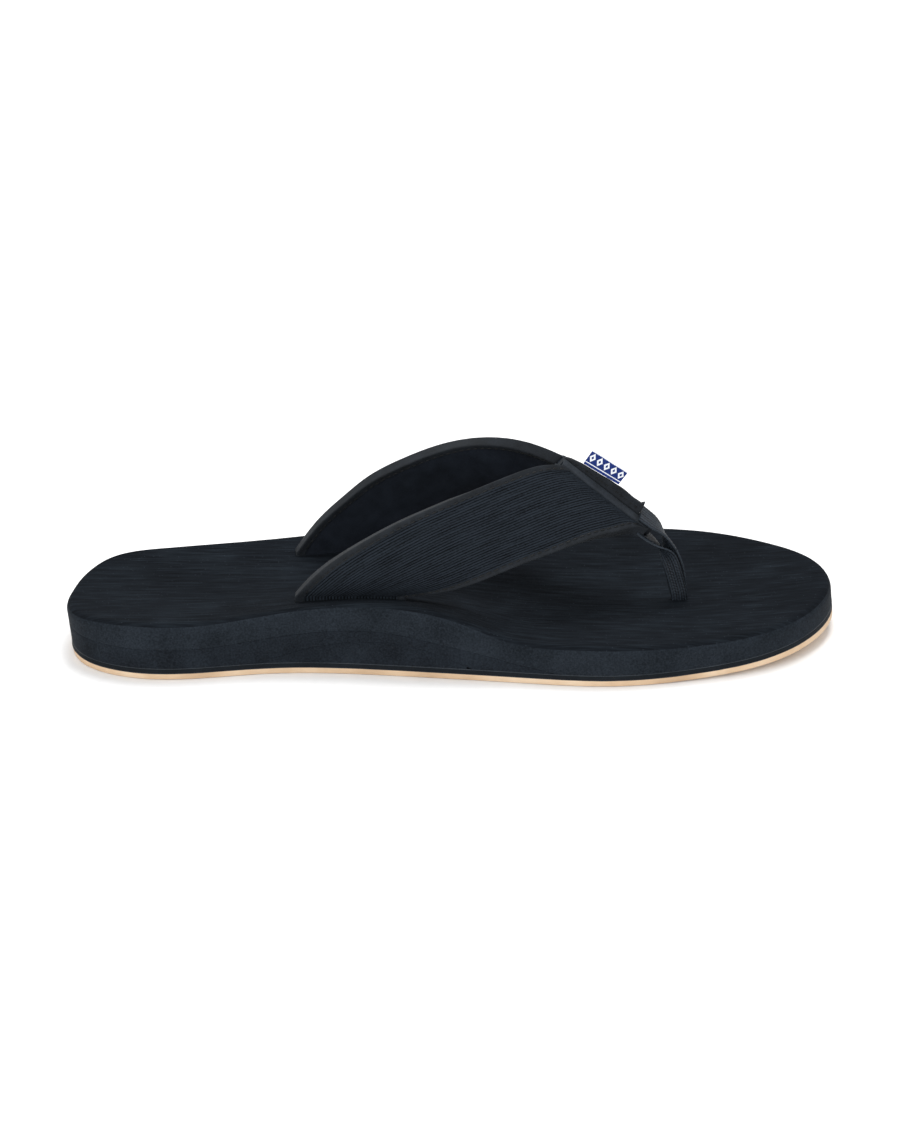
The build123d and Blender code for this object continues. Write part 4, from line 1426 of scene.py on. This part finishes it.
@dataclass
class ToePost:
    """The loop of webbing: over the seam, through the sole, round the pin and back."""

    form: SoleForm
    seam: SeamLine
    station: float = 85.8
    across: float = -8.5
    thickness: float = 1.3
    lap_width: float = 10.0
    post_width: float = 6.2
    leg_offset: float = 0.8
    piping_top: float = 0.95
    piping_bottom: float = -5.09
    pin_height: float = 7.43
    loop_radius: float = 1.95
    neck_height: float = 9.03
    front: tuple[tuple[float, float, float], ...] = (
        (4.9, 28.6, -0.3), (7.7, 23.5, -0.8), (9.8, 17.1, -1.4), (11.3, 9.9, -2.0),
        (12.1, 4.5, -2.2))
    rear: tuple[tuple[float, float, float], ...] = (
        (3.3, 22.8, -1.2), (7.4, 18.9, -2.6), (10.0, 12.5, -3.6), (11.8, 6.0, -3.8))
    front_twist: tuple[float, ...] = (0.0, 0.1, 0.3, 0.55, 0.8, 0.95, 1.0)
    rear_twist: tuple[float, ...] = (0.0, 0.15, 0.55, 0.85, 0.97, 1.0)
    roll: float = 16.0          # the lap's fall towards the inner side, in degrees
    roll_end: float = 0.3       # share of the way where that fall has gone
    weave: float = 0.10
    rows: int = 400
    columns: int = 30

    def route(self) -> SmoothLine:
        """The webbing's middle line, with its twist and width at every place."""
        top = self.form.footbed(self.station, self.across)
        lift = self.piping_top + self.thickness / 2
        length = self.seam.length
        low = self.seam.low[0]
        points: list[tuple[float, ...]] = []

        def add(place: Vector, twist: float, width: float) -> None:
            """Adds one place on the way."""
            points.append((*place, twist, width))

        def leg(rows: Sequence[tuple[float, float, float]]) -> list[Vector]:
            """A leg's places in the sole's frame."""
            return [Vector((low + x, self.seam.across + y, top + z)) for x, z, y in rows]

        wide, narrow = self.lap_width, self.post_width
        for along in (length - 5.0, length - 2.2, length + 0.5):
            add(self.seam.point(along, 0, lift), 0.0, wide)
        for k, place in enumerate(leg(self.front)):
            add(place, self.front_twist[k + 1], mix(wide, narrow, (k + 1) / 6))
        add(Vector((self.station, self.across + self.leg_offset, top + 1.0)), 1.0, narrow)
        add(Vector((self.station, self.across + self.leg_offset, self.neck_height)),
            1.0, narrow)
        for turn in range(-30, 211, 30):
            angle = math.radians(turn)
            add(Vector((self.station, self.across + math.cos(angle) * self.loop_radius,
                        self.pin_height - math.sin(angle) * self.loop_radius)), 1.0, narrow)
        add(Vector((self.station, self.across - self.leg_offset, self.neck_height)),
            1.0, narrow)
        add(Vector((self.station, self.across - self.leg_offset, top + 1.0)), 1.0, narrow)
        for k, place in reversed(list(enumerate(leg(self.rear)))):
            add(place, self.rear_twist[k + 1], mix(wide, narrow, min(1.0, (k + 1) * 0.32)))
        under = self.piping_bottom + self.thickness / 2
        for along in (length + 1.5, length - 2.0):
            add(self.seam.point(along, 0, under), 0.0, wide)
        return SmoothLine(points)

    def relief(self, across: float, along: float) -> float:
        """Height of the weave: chevrons of yarn in narrow columns."""
        column = across / 1.5
        slant = abs(column % 2 - 1)
        wave = math.sin(math.tau * (along / 1.25 + slant * 0.9))
        valley = min(1.0, abs(column % 1 - 0.5) * 5)
        return self.weave * wave * (0.4 + 0.6 * (1 - valley * 0.5))

    def build(self) -> None:
        """Makes the webbing and dresses the pin and washer."""
        line = self.route()
        rows = []
        for k in range(self.rows + 1):
            share = k / self.rows
            data = line.at(share)
            place, twist, width = Vector(data[:3]), data[3], data[4]
            heading = line.heading(share)
            angle = math.radians(90 * min(1.0, max(0.0, twist)))
            roll = math.radians(self.roll) * (1 - min(1.0, share / self.roll_end))
            side = Vector((math.sin(angle), -math.cos(angle) * math.cos(roll),
                           -math.cos(angle) * math.sin(roll)))
            side = (side - heading * side.dot(heading)).normalized()
            normal = heading.cross(side)
            travel = share * line.length
            row = []
            for face in (1, -1):
                for c in range(self.columns + 1):
                    s = (c / self.columns - 0.5) * face
                    edge = 1 - (abs(s) * 2) ** 10 * 0.55
                    out = self.thickness / 2 * edge + self.relief(s * width, travel) * edge
                    row.append(place + side * s * width + normal * face * out)
            rows.append([*row, row[0]])
        bm = loft(rows, 2 * self.lap_width, line.length)
        close_ends(bm)
        finished("toe_post_webbing", bm, Finishes.WEBBING, ["toe_webbing"])
        for node, finish in (("toe_post_pin", Finishes.NYLON),
                             ("toe_post_washer", Finishes.NYLON),
                             ("medial_strap_anchor", Finishes.WEBBING),
                             ("lateral_strap_anchor", Finishes.WEBBING)):
            self.form.nodes[node].material_slots[0].material = finish.material()
            LOG.info("%s: dressed", node)


# ---- the stage -----------------------------------------------------------------------


@dataclass
class Studio:
    """Camera, pale floor and soft lights."""

    eye: tuple[float, float, float] = (-2.5, -1182.9, 615.1)
    target: tuple[float, float, float] = (-2.5, -19.5, 35.0)
    lens: float = 109.6
    floor_size: float = 6000.0

    def camera(self) -> None:
        """A long lens a little above the object, on its inner side."""
        data = bpy.data.cameras.new("view")
        data.lens, data.sensor_fit = self.lens, "VERTICAL"
        data.sensor_height = 36.0
        data.dof.use_dof = False
        camera = bpy.data.objects.new("view", data)
        bpy.context.scene.collection.objects.link(camera)
        eye, target = Vector(self.eye) * MM, Vector(self.target) * MM
        camera.location = eye
        camera.rotation_euler = (target - eye).to_track_quat("-Z", "Y").to_euler()
        bpy.context.scene.camera = camera

    def light(self, name: str, place: tuple[float, float, float], size: float,
              power: float) -> None:
        """A square soft light that faces the object."""
        data = bpy.data.lights.new(name, "AREA")
        data.shape, data.size, data.energy = "SQUARE", size, power
        lamp = bpy.data.objects.new(name, data)
        lamp.location = place
        aim = Vector((0, 0, 0.03)) - Vector(place)
        lamp.rotation_euler = aim.to_track_quat("-Z", "Y").to_euler()
        bpy.context.scene.collection.objects.link(lamp)

    def build(self) -> None:
        """Makes the stage."""
        self.camera()
        scene = bpy.context.scene
        scene.view_settings.view_transform = "Standard"
        world = bpy.data.worlds.new("soft white room")
        world.use_nodes = True
        sky = world.node_tree.nodes["Background"]
        sky.inputs["Color"].default_value = (1.0, 1.0, 1.0, 1.0)
        sky.inputs["Strength"].default_value = 0.7
        scene.world = world
        self.light("overhead", (0.1, 0.35, 1.3), 0.8, 16.0)
        self.light("front", (-0.5, -1.3, 0.9), 1.0, 12.0)
        bm = bmesh.new()
        bmesh.ops.create_grid(bm, x_segments=8, y_segments=8,
                              size=self.floor_size / 2 * MM)
        mesh = bpy.data.meshes.new("floor")
        bmesh.ops.translate(bm, verts=bm.verts, vec=(0, 0, -0.0003))
        bm.to_mesh(mesh)
        bm.free()
        mesh.materials.append(Finishes.PAPER.material())
        floor = bpy.data.objects.new("floor", mesh)
        scene.collection.objects.link(floor)
        LOG.info("stage ready")


def corners(bounds: tuple[Vector, Vector]) -> list[list[float]]:
    """A box's two corners as plain lists."""
    return [[float(c) for c in corner] for corner in bounds]


def main() -> None:
    """Builds the object and its stage in order."""
    logging.basicConfig(level=logging.INFO, format="%(name)s: %(message)s")
    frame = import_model()
    Studio().build()
    form = SoleForm(frame["nodes"])
    seam = SeamLine()
    Sole(form).build()
    for side in Side:
        StrapHalf(side, form, seam).build()
    Ridge(seam).build()
    ToePost(form, seam).build()


if __name__ == "__main__":
    main()
